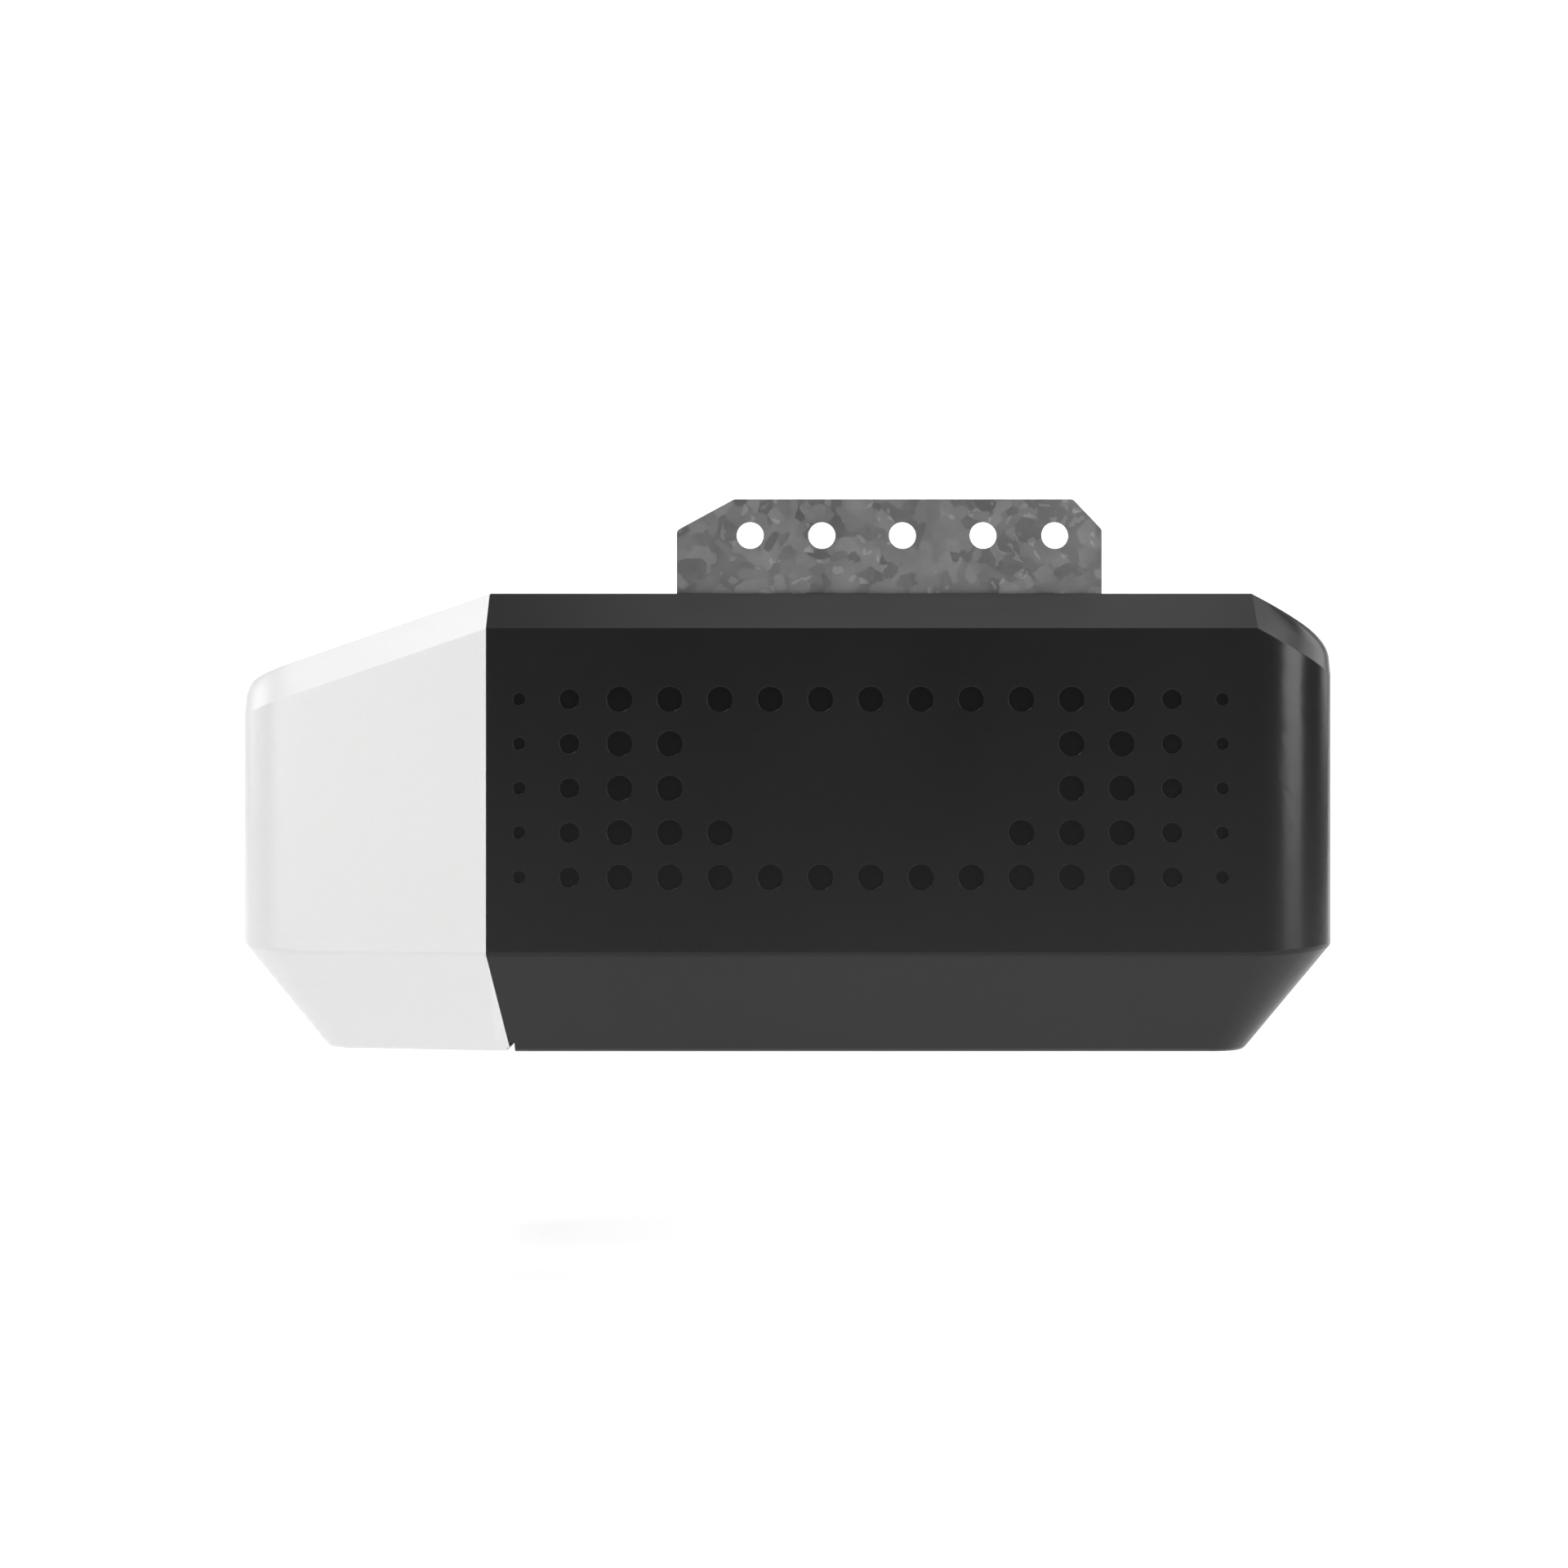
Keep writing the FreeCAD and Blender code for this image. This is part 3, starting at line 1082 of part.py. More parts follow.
def make_motor_bolts():
    front, rear = FRONT_BELL_X[0], REAR_BELL_X[1]
    bolts = []
    for dy, dz in motor_bolt_offsets():
        y, z = MOTOR_Y + dy, GEAR_Z + dz
        shank = rod_x(MOTOR_BOLT_R, (front - MOTOR_NUT, rear + OVERCUT), y, z)
        head = hexagon_x(MOTOR_BOLT_FLATS, (rear, rear + MOTOR_BOLT_HEAD), y, z)
        nut = hexagon_x(MOTOR_BOLT_FLATS, (front - MOTOR_NUT, front), y, z)
        bolts.append(joined([shank, head, nut]))
    return bolts


def make_rotor_core():
    """Laminated rotor with holes for its bars and an end ring at each face."""
    x = past(STATOR_X, ROTOR_OVERHANG)
    bars, bar_pitch_r, bar_r = ROTOR_BARS
    core = motor_ring(BORE_R - AIR_GAP, MOTOR_SHAFT_R, x)
    core = without(core, [motor_rod(bar_r, x, dy, dz) for dy, dz in around(bars, bar_pitch_r)])
    spans = ((x[0] - END_RING_LENGTH, x[0]), (x[1], x[1] + END_RING_LENGTH))
    return joined([core] + [motor_ring(END_RING_R[1], END_RING_R[0], span) for span in spans])


def make_interrupter_cup():
    """Slotted cup read by the speed sensor."""
    back, web, rim = CUP_X
    cup = motor_ring(CUP_R[1], MOTOR_SHAFT_R, (back, web))
    cup = cup.fuse(motor_ring(CUP_R[1], CUP_R[0], (web, rim)))
    cup = cup.fuse(motor_ring(CUP_HUB_R, MOTOR_SHAFT_R, (back, rim)))
    gap_y = past((MOTOR_Y + CUP_R[0], MOTOR_Y + CUP_R[1]))
    gap = box((web + OVERCUT, rim + OVERCUT), gap_y, about(GEAR_Z, CUP_GAP_HALF))
    return without(cup, [turned(gap, 360 * i / CUP_GAPS) for i in range(CUP_GAPS)]).removeSplitter()


def make_fan():
    radial = (MOTOR_Y + FAN_BLADE_R[0], MOTOR_Y + FAN_BLADE_R[1])
    blade = box(FAN_BLADE_X, radial, about(GEAR_Z, FAN_BLADE_HALF))
    blade.rotate(Vector(0, radial[0], GEAR_Z), Vector(1, 0, 0), FAN_BLADE_LEAN)
    hub = motor_ring(FAN_HUB_R, MOTOR_SHAFT_R, FAN_X)
    disc = motor_ring(FAN_R, MOTOR_SHAFT_R, (FAN_X[1] - FAN_DISC, FAN_X[1]))
    return joined([hub, disc] + [turned(blade, 360 * i / FAN_BLADES) for i in range(FAN_BLADES)])


def make_motor_saddle():
    """Saddle over the stator, hung from the chassis on rubber isolators."""
    half = STATOR_HALF + SADDLE_SHEET
    saddle = box(SADDLE_X, about(MOTOR_Y, half), (SADDLE_LEG_BOTTOM, SADDLE_TOP))
    under = (SADDLE_LEG_BOTTOM - OVERCUT, SADDLE_TOP - SADDLE_SHEET)
    saddle = saddle.cut(box(past(SADDLE_X), about(MOTOR_Y, STATOR_HALF), under))
    holes = [rod_z(ISOLATOR_BOLT_R, x, y, past((under[1], SADDLE_TOP))) for x, y in ISOLATORS]
    return without(saddle, holes)


def make_isolators():
    """Waisted rubber mounts between the saddle and the chassis."""
    z = (SADDLE_TOP, PLATE_BOTTOM)
    pads = []
    for x, y in ISOLATORS:
        waist = ring_z(ISOLATOR_R + OVERCUT, ISOLATOR_WAIST_R, x, y, past(z, -ISOLATOR_LIP))
        pads.append(rod_z(ISOLATOR_R, x, y, z).cut(waist).cut(rod_z(ISOLATOR_BOLT_R, x, y, past(z))))
    return pads


def make_isolator_bolts():
    tip = SADDLE_TOP - SADDLE_SHEET + SEAT_GAP
    return [hex_screw(x, y, PLATE_TOP, tip, ISOLATOR_BOLT_R, ISOLATOR_BOLT_HEAD) for x, y in ISOLATORS]


# ---------------------------------------------------------------- electrics
def transformer_windows():
    """(low, high) along X of the two gaps between the core's limbs."""
    x0, x1 = TRANSFORMER_X
    middle = (x0 + x1) / 2
    limb = TRANSFORMER_LIMB
    return ((x0 + limb, middle - limb), (middle + limb, x1 - limb))


def make_transformer_core():
    y = past(TRANSFORMER_Y, -COIL_OVERHANG)
    core = box(TRANSFORMER_X, y, TRANSFORMER_Z)
    window_z = past(TRANSFORMER_Z, -TRANSFORMER_LIMB)
    return without(core, [box(x, past(y), window_z) for x in transformer_windows()])


def make_transformer_coil():
    middle = sum(TRANSFORMER_X) / 2
    z = past(TRANSFORMER_Z, -TRANSFORMER_LIMB)
    coil = box(about(middle, COIL_HALF_X), TRANSFORMER_Y, z)
    coil = coil.makeFillet(COIL_CORNER_R, edges_along(coil, Vector(0, 0, 1)))
    return coil.cut(box(about(middle, TRANSFORMER_LIMB), past(TRANSFORMER_Y, -COIL_OVERHANG), z))


def make_transformer_strap():
    """Steel strap that clamps the transformer's core up under the chassis plate."""
    t = STRAP_SHEET
    y = past(TRANSFORMER_Y, -STRAP_INSET)
    loop = box(past(TRANSFORMER_X, t), y, (TRANSFORMER_Z[0] - t, PLATE_BOTTOM))
    loop = loop.cut(box(TRANSFORMER_X, past(y), (TRANSFORMER_Z[0], PLATE_BOTTOM + OVERCUT)))
    ear_z = (PLATE_BOTTOM - t, PLATE_BOTTOM)
    x0, x1 = TRANSFORMER_X
    strap = joined([loop, box((x0 - STRAP_EAR, x0), y, ear_z), box((x1, x1 + STRAP_EAR), y, ear_z)])
    return without(strap, [rod_z(SCREW_R, x, hole_y, past(ear_z)) for x, hole_y in TRANSFORMER_SCREWS])


def make_capacitor():
    """Drawn can with two spade terminals at one end."""
    offset, half_width, half_thickness, length = CAPACITOR_TABS
    can = rod_y(CAPACITOR_R, CAPACITOR_X, CAPACITOR_Y, CAPACITOR_Z)
    can = can.makeFillet(CAPACITOR_ROUND, [e for e in can.Edges if e.Closed])
    tab_y = (CAPACITOR_Y[1] - OVERCUT, CAPACITOR_Y[1] + length)
    tab_z = about(CAPACITOR_Z, half_thickness)
    tabs = [box(about(CAPACITOR_X + dx, half_width), tab_y, tab_z) for dx in (-offset, offset)]
    return joined([can] + tabs)


def make_capacitor_clip():
    t = STRAP_SHEET
    y = CAPACITOR_CLIP_Y
    ring = rod_y(CAPACITOR_R + t, CAPACITOR_X, y, CAPACITOR_Z)
    post = box(about(CAPACITOR_X, CLIP_POST_HALF), y, (CAPACITOR_Z + CAPACITOR_R, PLATE_BOTTOM))
    foot_z = (PLATE_BOTTOM - t, PLATE_BOTTOM)
    foot = box(about(CAPACITOR_X, CLIP_FOOT_HALF), y, foot_z)
    clip = joined([ring, post, foot]).cut(rod_y(CAPACITOR_R, CAPACITOR_X, past(y), CAPACITOR_Z))
    return without(clip, [rod_z(SCREW_R, x, hole_y, past(foot_z)) for x, hole_y in CLIP_SCREWS])


# ---------------------------------------------------------------- lamp end
def make_bulkhead():
    """White panel that closes the cover behind the lamp."""
    room = box(BULKHEAD_X, (-BIG, BIG), (0, LEDGE_BOTTOM - BULKHEAD_GAP))
    panel = form(COVER_WALL + BULKHEAD_GAP).common(room)
    panel = panel.cut(rod_x(BULKHEAD_HOLE_R, past(BULKHEAD_X), 0, LAMP_Z))
    return without(panel, [rod_x(LEG_SCREW_R, past(BULKHEAD_X), y, z) for y, z in LEG_SCREWS])


def make_bulkhead_screws():
    """Round-headed screws with a cross recess."""
    seat = BULKHEAD_X[0]
    face = seat - LEG_HEAD_HEIGHT
    screws = []
    for y, z in LEG_SCREWS:
        head = rod_x(LEG_HEAD_R, (face, seat), y, z)
        head = head.makeFillet(LEG_HEAD_HEIGHT / 2, circles_at(head, face))
        screw = joined([head, rod_x(LEG_SCREW_R, (seat, LEG_SCREW_TIP_X), y, z)])
        for half_y, half_z in ((CROSS_HALF_WIDTH, CROSS_REACH), (CROSS_REACH, CROSS_HALF_WIDTH)):
            screw = screw.cut(box((face - OVERCUT, face + CROSS_DEPTH), about(y, half_y), about(z, half_z)))
        screws.append(screw)
    return screws


def make_lamp_socket():
    """Ceramic cup with a bore for the wires in its floor."""
    body = rod_x(SOCKET_R, SOCKET_X, 0, LAMP_Z)
    body = body.cut(rod_x(SOCKET_BORE_R, (SOCKET_X[0] - OVERCUT, SOCKET_FLOOR_X), 0, LAMP_Z))
    return body.cut(rod_x(SOCKET_WIRE_R, past((SOCKET_FLOOR_X, SOCKET_X[1])), 0, LAMP_Z))


def make_bulb_base():
    """Screw cap with rolled thread rings and a centre contact."""
    ring_r, bead_r = CAP_THREAD
    r0, r1, cone_length = CAP_CONE
    pieces = [rod_x(CAP_R, CAP_X, 0, LAMP_Z)]
    for i in range(CAP_THREADS):
        centre = Vector(CAP_THREAD_START_X + i * CAP_THREAD_PITCH, 0, LAMP_Z)
        pieces.append(Part.makeTorus(ring_r, bead_r, centre, Vector(1, 0, 0)))
    pieces.append(Part.makeCone(r0, r1, cone_length, Vector(CAP_X[1], 0, LAMP_Z), Vector(1, 0, 0)))
    pieces.append(rod_x(CONTACT_R, CONTACT_X, 0, LAMP_Z))
    return joined(pieces)


def make_bulb_collar():
    """Flared cone of the LED bulb between its cap and its globe."""
    cap, neck, waist, mouth = [Vector(x, 0, LAMP_Z + r) for x, r in zip(COLLAR_X, COLLAR_R)]
    axis_mouth = Vector(COLLAR_X[3], 0, LAMP_Z)
    axis_cap = Vector(COLLAR_X[0], 0, LAMP_Z)
    edges = [
        Part.makeLine(axis_cap, cap), Part.makeLine(cap, neck), Part.Arc(neck, waist, mouth).toShape(),
        Part.makeLine(mouth, axis_mouth), Part.makeLine(axis_mouth, axis_cap),
    ]
    return Part.Face(Part.Wire(edges)).revolve(axis_cap, Vector(1, 0, 0), 360)


def make_bulb_globe():
    """Frosted dome of the bulb: a ball on a short skirt."""
    ball = Part.makeSphere(GLOBE_R, Vector(GLOBE_CENTRE_X, 0, LAMP_Z))
    ball = ball.common(box((-BIG, GLOBE_CENTRE_X), (-BIG, BIG), (-BIG, BIG)))
    length = COLLAR_X[3] - GLOBE_CENTRE_X
    skirt = Part.makeCone(GLOBE_R, GLOBE_FOOT_R, length, Vector(GLOBE_CENTRE_X, 0, LAMP_Z), Vector(1, 0, 0))
    return joined([ball, skirt])


# ---------------------------------------------------------------- control end
def button_radius(name):
    return LEARN_R if name == "learn_button" else BUTTON_R


def make_control_panel():
    """Bezel in the end wall: a backing plate inside the wall and a face that fills the window."""
    back = box((PANEL_BACK_X, WALL_INNER_X), past(WINDOW_Y, PANEL_MARGIN), past(WINDOW_Z, PANEL_MARGIN))
    face = box((WALL_INNER_X, PANEL_FACE_X), past(WINDOW_Y, -WINDOW_GAP), past(WINDOW_Z, -WINDOW_GAP))
    panel = joined([back, face])
    dish_width, dish_depth = BUTTON_DISH
    for name, y in BUTTON_YS.items():
        r = button_radius(name) + BUTTON_GAP
        panel = panel.cut(rod_x(r, END_CUT_X, y, BUTTON_Z))
        panel = panel.cut(rod_x(r + dish_width, (PANEL_FACE_X - dish_depth, END_CUT_X[1]), y, BUTTON_Z))
    panel = panel.cut(rod_x(LIGHT_R, END_CUT_X, LIGHT_Y, LIGHT_Z))
    return panel.cut(box(END_CUT_X, past(TERMINAL_Y, SEAT_GAP), past(TERMINAL_Z, SEAT_GAP)))


def make_light_pipe():
    pipe = rod_x(LIGHT_R, (LIGHT_BACK_X, PANEL_FACE_X + LIGHT_PROUD), LIGHT_Y, LIGHT_Z)
    return joined([pipe, rod_x(LIGHT_COLLAR_R, (LIGHT_COLLAR_X, PANEL_BACK_X), LIGHT_Y, LIGHT_Z)])


def make_logic_board():
    board = box(BOARD_X, BOARD_Y, BOARD_Z)
    return board.makeFillet(BOARD_CORNER_R, edges_along(board, Vector(1, 0, 0)))


def make_board_switches():
    """One small switch behind each button, and the status light's lamp."""
    face = BOARD_X[1]
    pieces = [rod_x(LED_R, (face, face + LED_HEIGHT), LIGHT_Y, LIGHT_Z)]
    for y in BUTTON_YS.values():
        body = box((face, face + SWITCH_HEIGHT), about(y, SWITCH_HALF), about(BUTTON_Z, SWITCH_HALF))
        plunger = rod_x(PLUNGER_R, (face + SWITCH_HEIGHT / 2, face + PLUNGER_TOP), y, BUTTON_Z)
        pieces.append(joined([body, plunger]))
    return pieces


def make_button(name):
    """Cap with a retaining collar behind the panel, a stem towards its switch and a sunk mark."""
    y = BUTTON_YS[name]
    r = button_radius(name)
    cap = rod_x(r, (BUTTON_BACK_X, BUTTON_FACE_X), y, BUTTON_Z)
    cap = cap.makeFillet(BUTTON_ROUND, circles_at(cap, BUTTON_FACE_X))
    collar = rod_x(r + BUTTON_COLLAR, (BUTTON_BACK_X, PANEL_BACK_X - COLLAR_GAP), y, BUTTON_Z)
    stem = rod_x(BUTTON_STEM_R, (BUTTON_STEM_X, BUTTON_BACK_X), y, BUTTON_Z)
    button = joined([cap, collar, stem])
    mark = [(y + dy, BUTTON_Z + dz) for dy, dz in BUTTON_MARKS[name]]
    if not mark:
        return button
    return button.cut(prism_x(mark, (BUTTON_FACE_X - MARK_DEPTH, BUTTON_FACE_X + OVERCUT)))


def terminal_centres():
    pitch = (TERMINAL_Y[1] - TERMINAL_Y[0]) / len(TERMINALS)
    return [TERMINAL_Y[0] + pitch * (i + 0.5) for i in range(len(TERMINALS))]


def make_terminal_block():
    """Push-in wire block: one wire port and one release-tab slot per terminal."""
    mouth_r, mouth_depth = FUNNEL
    block = box((BOARD_X[1], TERMINAL_FACE_X), TERMINAL_Y, TERMINAL_Z)
    for y in terminal_centres():
        slot_x = (TAB_X[0] - TAB_HALF_Y, END_CUT_X[1])
        slot = box(slot_x, about(y, TAB_HALF_Y + SEAT_GAP), past(TAB_Z, SEAT_GAP))
        port = rod_x(PORT_R, (TERMINAL_BACK_X, END_CUT_X[1]), y, PORT_Z)
        corner = Vector(TERMINAL_FACE_X - mouth_depth, y, PORT_Z)
        funnel = Part.makeCone(PORT_R, mouth_r, mouth_depth, corner, Vector(1, 0, 0))
        block = without(block, [slot, port, funnel])
    return block


def make_terminal_tab(y):
    tab = box(TAB_X, about(y, TAB_HALF_Y), TAB_Z)
    return rounded(tab, TAB_ROUND, lambda p: p.x > TAB_X[1] - 0.1)


def on_board(height, y, z):
    """Block on the side of the board away from the panel."""
    return box((BOARD_X[0] - height, BOARD_X[0]), y, z)


def make_board_relays():
    half_y, half_z = RELAY_HALF
    return [on_board(RELAY_HEIGHT, about(y, half_y), about(z, half_z)) for y, z in RELAY_CENTRES]


def make_board_chips():
    """Chips, a row of cans and the screened radio module."""
    count, first_y, pitch, z = BOARD_CANS
    can_r, can_height = BOARD_CAN
    pieces = [on_board(*chip) for chip in CHIPS]
    for i in range(count):
        pieces.append(rod_x(can_r, (BOARD_X[0] - can_height, BOARD_X[0]), first_y + i * pitch, z))
    shield = on_board(RADIO_SHIELD[0], RADIO_Y, RADIO_SHIELD[1])
    tail = on_board(RADIO_BOARD[0], RADIO_Y, RADIO_BOARD[1])
    return pieces + [joined([shield, tail])]


def make_board_connectors():
    blocks = []
    for y, z in CONNECTORS:
        mouth_x = (BOARD_X[0] - CONNECTOR_HEIGHT - OVERCUT, BOARD_X[0] - CONNECTOR_FLOOR)
        mouth = box(mouth_x, past(y, -CONNECTOR_WALL), past(z, -CONNECTOR_WALL))
        blocks.append(on_board(CONNECTOR_HEIGHT, y, z).cut(mouth))
    return blocks


def make_speed_sensor():
    """Small board and slotted optical sensor over the rim of the interrupter cup."""
    board = box(SENSOR_X, about(MOTOR_Y, SENSOR_HALF_Y), SENSOR_BOARD_Z)
    eye = box(SENSOR_EYE_X, about(MOTOR_Y, SENSOR_EYE_HALF_Y), (SENSOR_EYE_BOTTOM, SENSOR_BOARD_Z[0]))
    post = box(SENSOR_POST_X, about(MOTOR_Y, SENSOR_HALF_Y), (SENSOR_BOARD_Z[1], PLATE_BOTTOM))
    return joined([board, eye, post])


def make_inlet_grommet():
    """Rubber grommet with a lip outside and a flange inside the end wall."""
    pieces = [
        rod_x(INLET_HOLE_R, (INLET_FLANGE_X[0], INLET_LIP_X[0]), INLET_Y, INLET_Z),
        rod_x(INLET_LIP_R, INLET_LIP_X, INLET_Y, INLET_Z),
        rod_x(INLET_FLANGE_R, INLET_FLANGE_X, INLET_Y, INLET_Z),
    ]
    return joined(pieces).cut(rod_x(CORD_R, END_CUT_X, INLET_Y, INLET_Z))


# ---------------------------------------------------------------- build
def body_pieces():
    """Casing, chassis and lamp."""
    outer = softened_form()
    yield "cover", make_cover(outer)
    yield "light_lens", make_lens(outer)
    yield "lens_hinge_pins", make_hinge_pins()
    yield "chassis", make_chassis()
    yield "chassis_screws", make_chassis_screws()
    yield "rail_bracket", make_rail_strap()
    yield "rail_bolts", make_rail_bolts()
    yield "lamp_bulkhead", make_bulkhead()
    yield "bulkhead_screws", make_bulkhead_screws()
    yield "lamp_socket", make_lamp_socket()
    yield "socket_shell", ring_x(SHELL_R[1], SHELL_R[0], SHELL_X, 0, LAMP_Z)
    yield "bulb_base", make_bulb_base()
    yield "bulb_collar", make_bulb_collar()
    yield "bulb_globe", make_bulb_globe()


def drive_pieces():
    """Gears, shafts and motor."""
    yield "gear_frame", make_gear_frame()
    yield "shaft_bushes", make_shaft_bushes()
    yield "output_shaft", make_output_shaft()
    yield "drive_gear", make_drive_gear()
    yield "sprocket", make_sprocket()
    yield "shaft_clips", make_shaft_clips()
    yield "travel_pinion", travel_wheel(TRAVEL_TEETH[0], -math.pi / 2, 0.0, SHAFT_R)
    yield "travel_gear", make_travel_gear()
    yield "travel_module", make_travel_module()
    yield "motor_shaft", motor_rod(MOTOR_SHAFT_R, MOTOR_SHAFT_X)
    yield "worm", make_worm()
    yield "rotor_core", make_rotor_core()
    yield "interrupter_cup", make_interrupter_cup()
    yield "cooling_fan", make_fan()
    yield "stator_core", make_stator()
    yield "stator_windings", make_windings()
    yield "motor_end_bells", [make_bell(FRONT_BELL_X, -1), make_bell(REAR_BELL_X, 1)]
    yield "motor_bearings", make_motor_bearings()
    yield "motor_bolts", make_motor_bolts()
    yield "motor_saddle", make_motor_saddle()
    yield "motor_isolators", make_isolators()
    yield "isolator_bolts", make_isolator_bolts()


def electric_pieces():
    """Transformer, capacitor, logic board, control panel and their small parts."""
    yield "transformer_core", make_transformer_core()
    yield "transformer_coil", make_transformer_coil()
    yield "transformer_strap", make_transformer_strap()
    yield "run_capacitor", make_capacitor()
    yield "capacitor_clip", make_capacitor_clip()
    yield "control_panel", make_control_panel()
    yield "board_standoffs", [rod_x(POST_R, (BOARD_X[1], PANEL_BACK_X), y, z) for y, z in PANEL_POSTS]
    yield "status_light_pipe", make_light_pipe()
    yield "logic_board", make_logic_board()
    yield "board_switches", make_board_switches()
    yield "board_relays", make_board_relays()
    yield "board_chips", make_board_chips()
    yield "board_connectors", make_board_connectors()
    yield "speed_sensor", make_speed_sensor()
    yield "inlet_grommet", make_inlet_grommet()
    for name in BUTTON_YS:
        yield name, make_button(name)
    yield "terminal_block", make_terminal_block()
    for name, y in zip(TERMINALS, terminal_centres()):
        yield f"terminal_tab_{name}", make_terminal_tab(y)


def build():
    os.makedirs(PARTS, exist_ok=True)
    for pieces in (body_pieces(), drive_pieces(), electric_pieces()):
        for name, made in pieces:
            save(name, Part.makeCompound(made) if isinstance(made, list) else made)


build()
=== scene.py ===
import json
import math

import bpy
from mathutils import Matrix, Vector


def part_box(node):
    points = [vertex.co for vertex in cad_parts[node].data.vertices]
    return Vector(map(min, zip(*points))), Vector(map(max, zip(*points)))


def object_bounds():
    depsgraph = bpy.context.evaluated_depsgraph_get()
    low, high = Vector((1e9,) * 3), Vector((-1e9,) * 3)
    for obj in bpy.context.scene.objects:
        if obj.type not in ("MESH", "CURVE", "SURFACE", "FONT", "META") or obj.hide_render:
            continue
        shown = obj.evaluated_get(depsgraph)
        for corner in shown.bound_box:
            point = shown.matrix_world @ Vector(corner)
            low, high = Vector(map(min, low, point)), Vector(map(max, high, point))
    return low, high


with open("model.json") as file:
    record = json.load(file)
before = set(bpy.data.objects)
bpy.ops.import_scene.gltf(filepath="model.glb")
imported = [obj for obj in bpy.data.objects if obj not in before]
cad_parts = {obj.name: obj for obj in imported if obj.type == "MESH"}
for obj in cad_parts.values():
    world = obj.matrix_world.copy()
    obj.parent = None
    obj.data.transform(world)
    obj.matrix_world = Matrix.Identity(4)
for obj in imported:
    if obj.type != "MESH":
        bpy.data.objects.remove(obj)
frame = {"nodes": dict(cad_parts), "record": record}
cad_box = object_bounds()
NODES = frame["nodes"]

MM = 0.001

# the camera: level, and square to the long side
CAMERA_DISTANCE = 1.0          # from the near side wall
CAMERA_HEIGHT = 0.0961
VIEW_WIDTH = 0.5462            # width of the picture at the near side wall
SENSOR = 36.0
EXPOSURE = -0.2                # stops

# the cover's round recesses; their floors get painted shade
WALL_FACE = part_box("cover")[1].y   # how far the side walls' outer faces are from the middle
RECESS_FLOORS = (WALL_FACE - 1.4 * MM, WALL_FACE - 0.2 * MM)   # their floors lie between these
RECESS_HEIGHTS = (0.052, 0.136)    # the whole pattern lies between these
RECESS_END_X = 0.158               # beyond its last column
RECESS_SHADE_SHARE = 0.25                # of the housing's colour is left on the floors, as painted shade

# wear and rounding
WORN_POINTINESS = (0.52, 0.58)     # where edge wear begins and where it is full
FLAT_ANGLE = math.radians(1.0)     # triangles that meet flatter than this are one face
SHARP_ANGLE = math.radians(50.0)   # edges sharper than this get a round

# the backdrop: a floor, a bend and a wall
FLOOR_DROP = 95.0 * MM         # the unit hangs in use, and its lens swings down below its underside
FLOOR_FRONT = -2.6
FLOOR_HALF = 2.2               # half of its width
WALL_BACK = 2.6
WALL_HALF = 1.5
WALL_HEIGHT = 4.0
BEND = 1.2                     # its radius
BEND_STEPS = 16
WHITE = (1.0, 1.0, 1.0, 1.0)
PAPER = 0.80
PAPER_CLOUDS = 0.01            # how far the paper's tone strays either way
FLOOR_GLOW = 0.10              # the paper itself glows this much everywhere
GLOW_MIDDLE = (0.03, -0.02, -FLOOR_DROP)
SHADOW_FILL_GLOW = 0.60              # painted light, added where the object shades the floor, to fill its shadow
SHADOW_FILL_REACH = (0.05, 0.30)     # where that begins to fade and where it ends
FAR_GLOW = 0.75                # added away from the object and up the wall
FAR_REACH = (0.9, 1.9)         # where that begins and where it is full
WORLD_FILL = 0.085             # what the world adds to the lights
WORLD_SEEN = 1.2               # how bright it looks past the backdrop


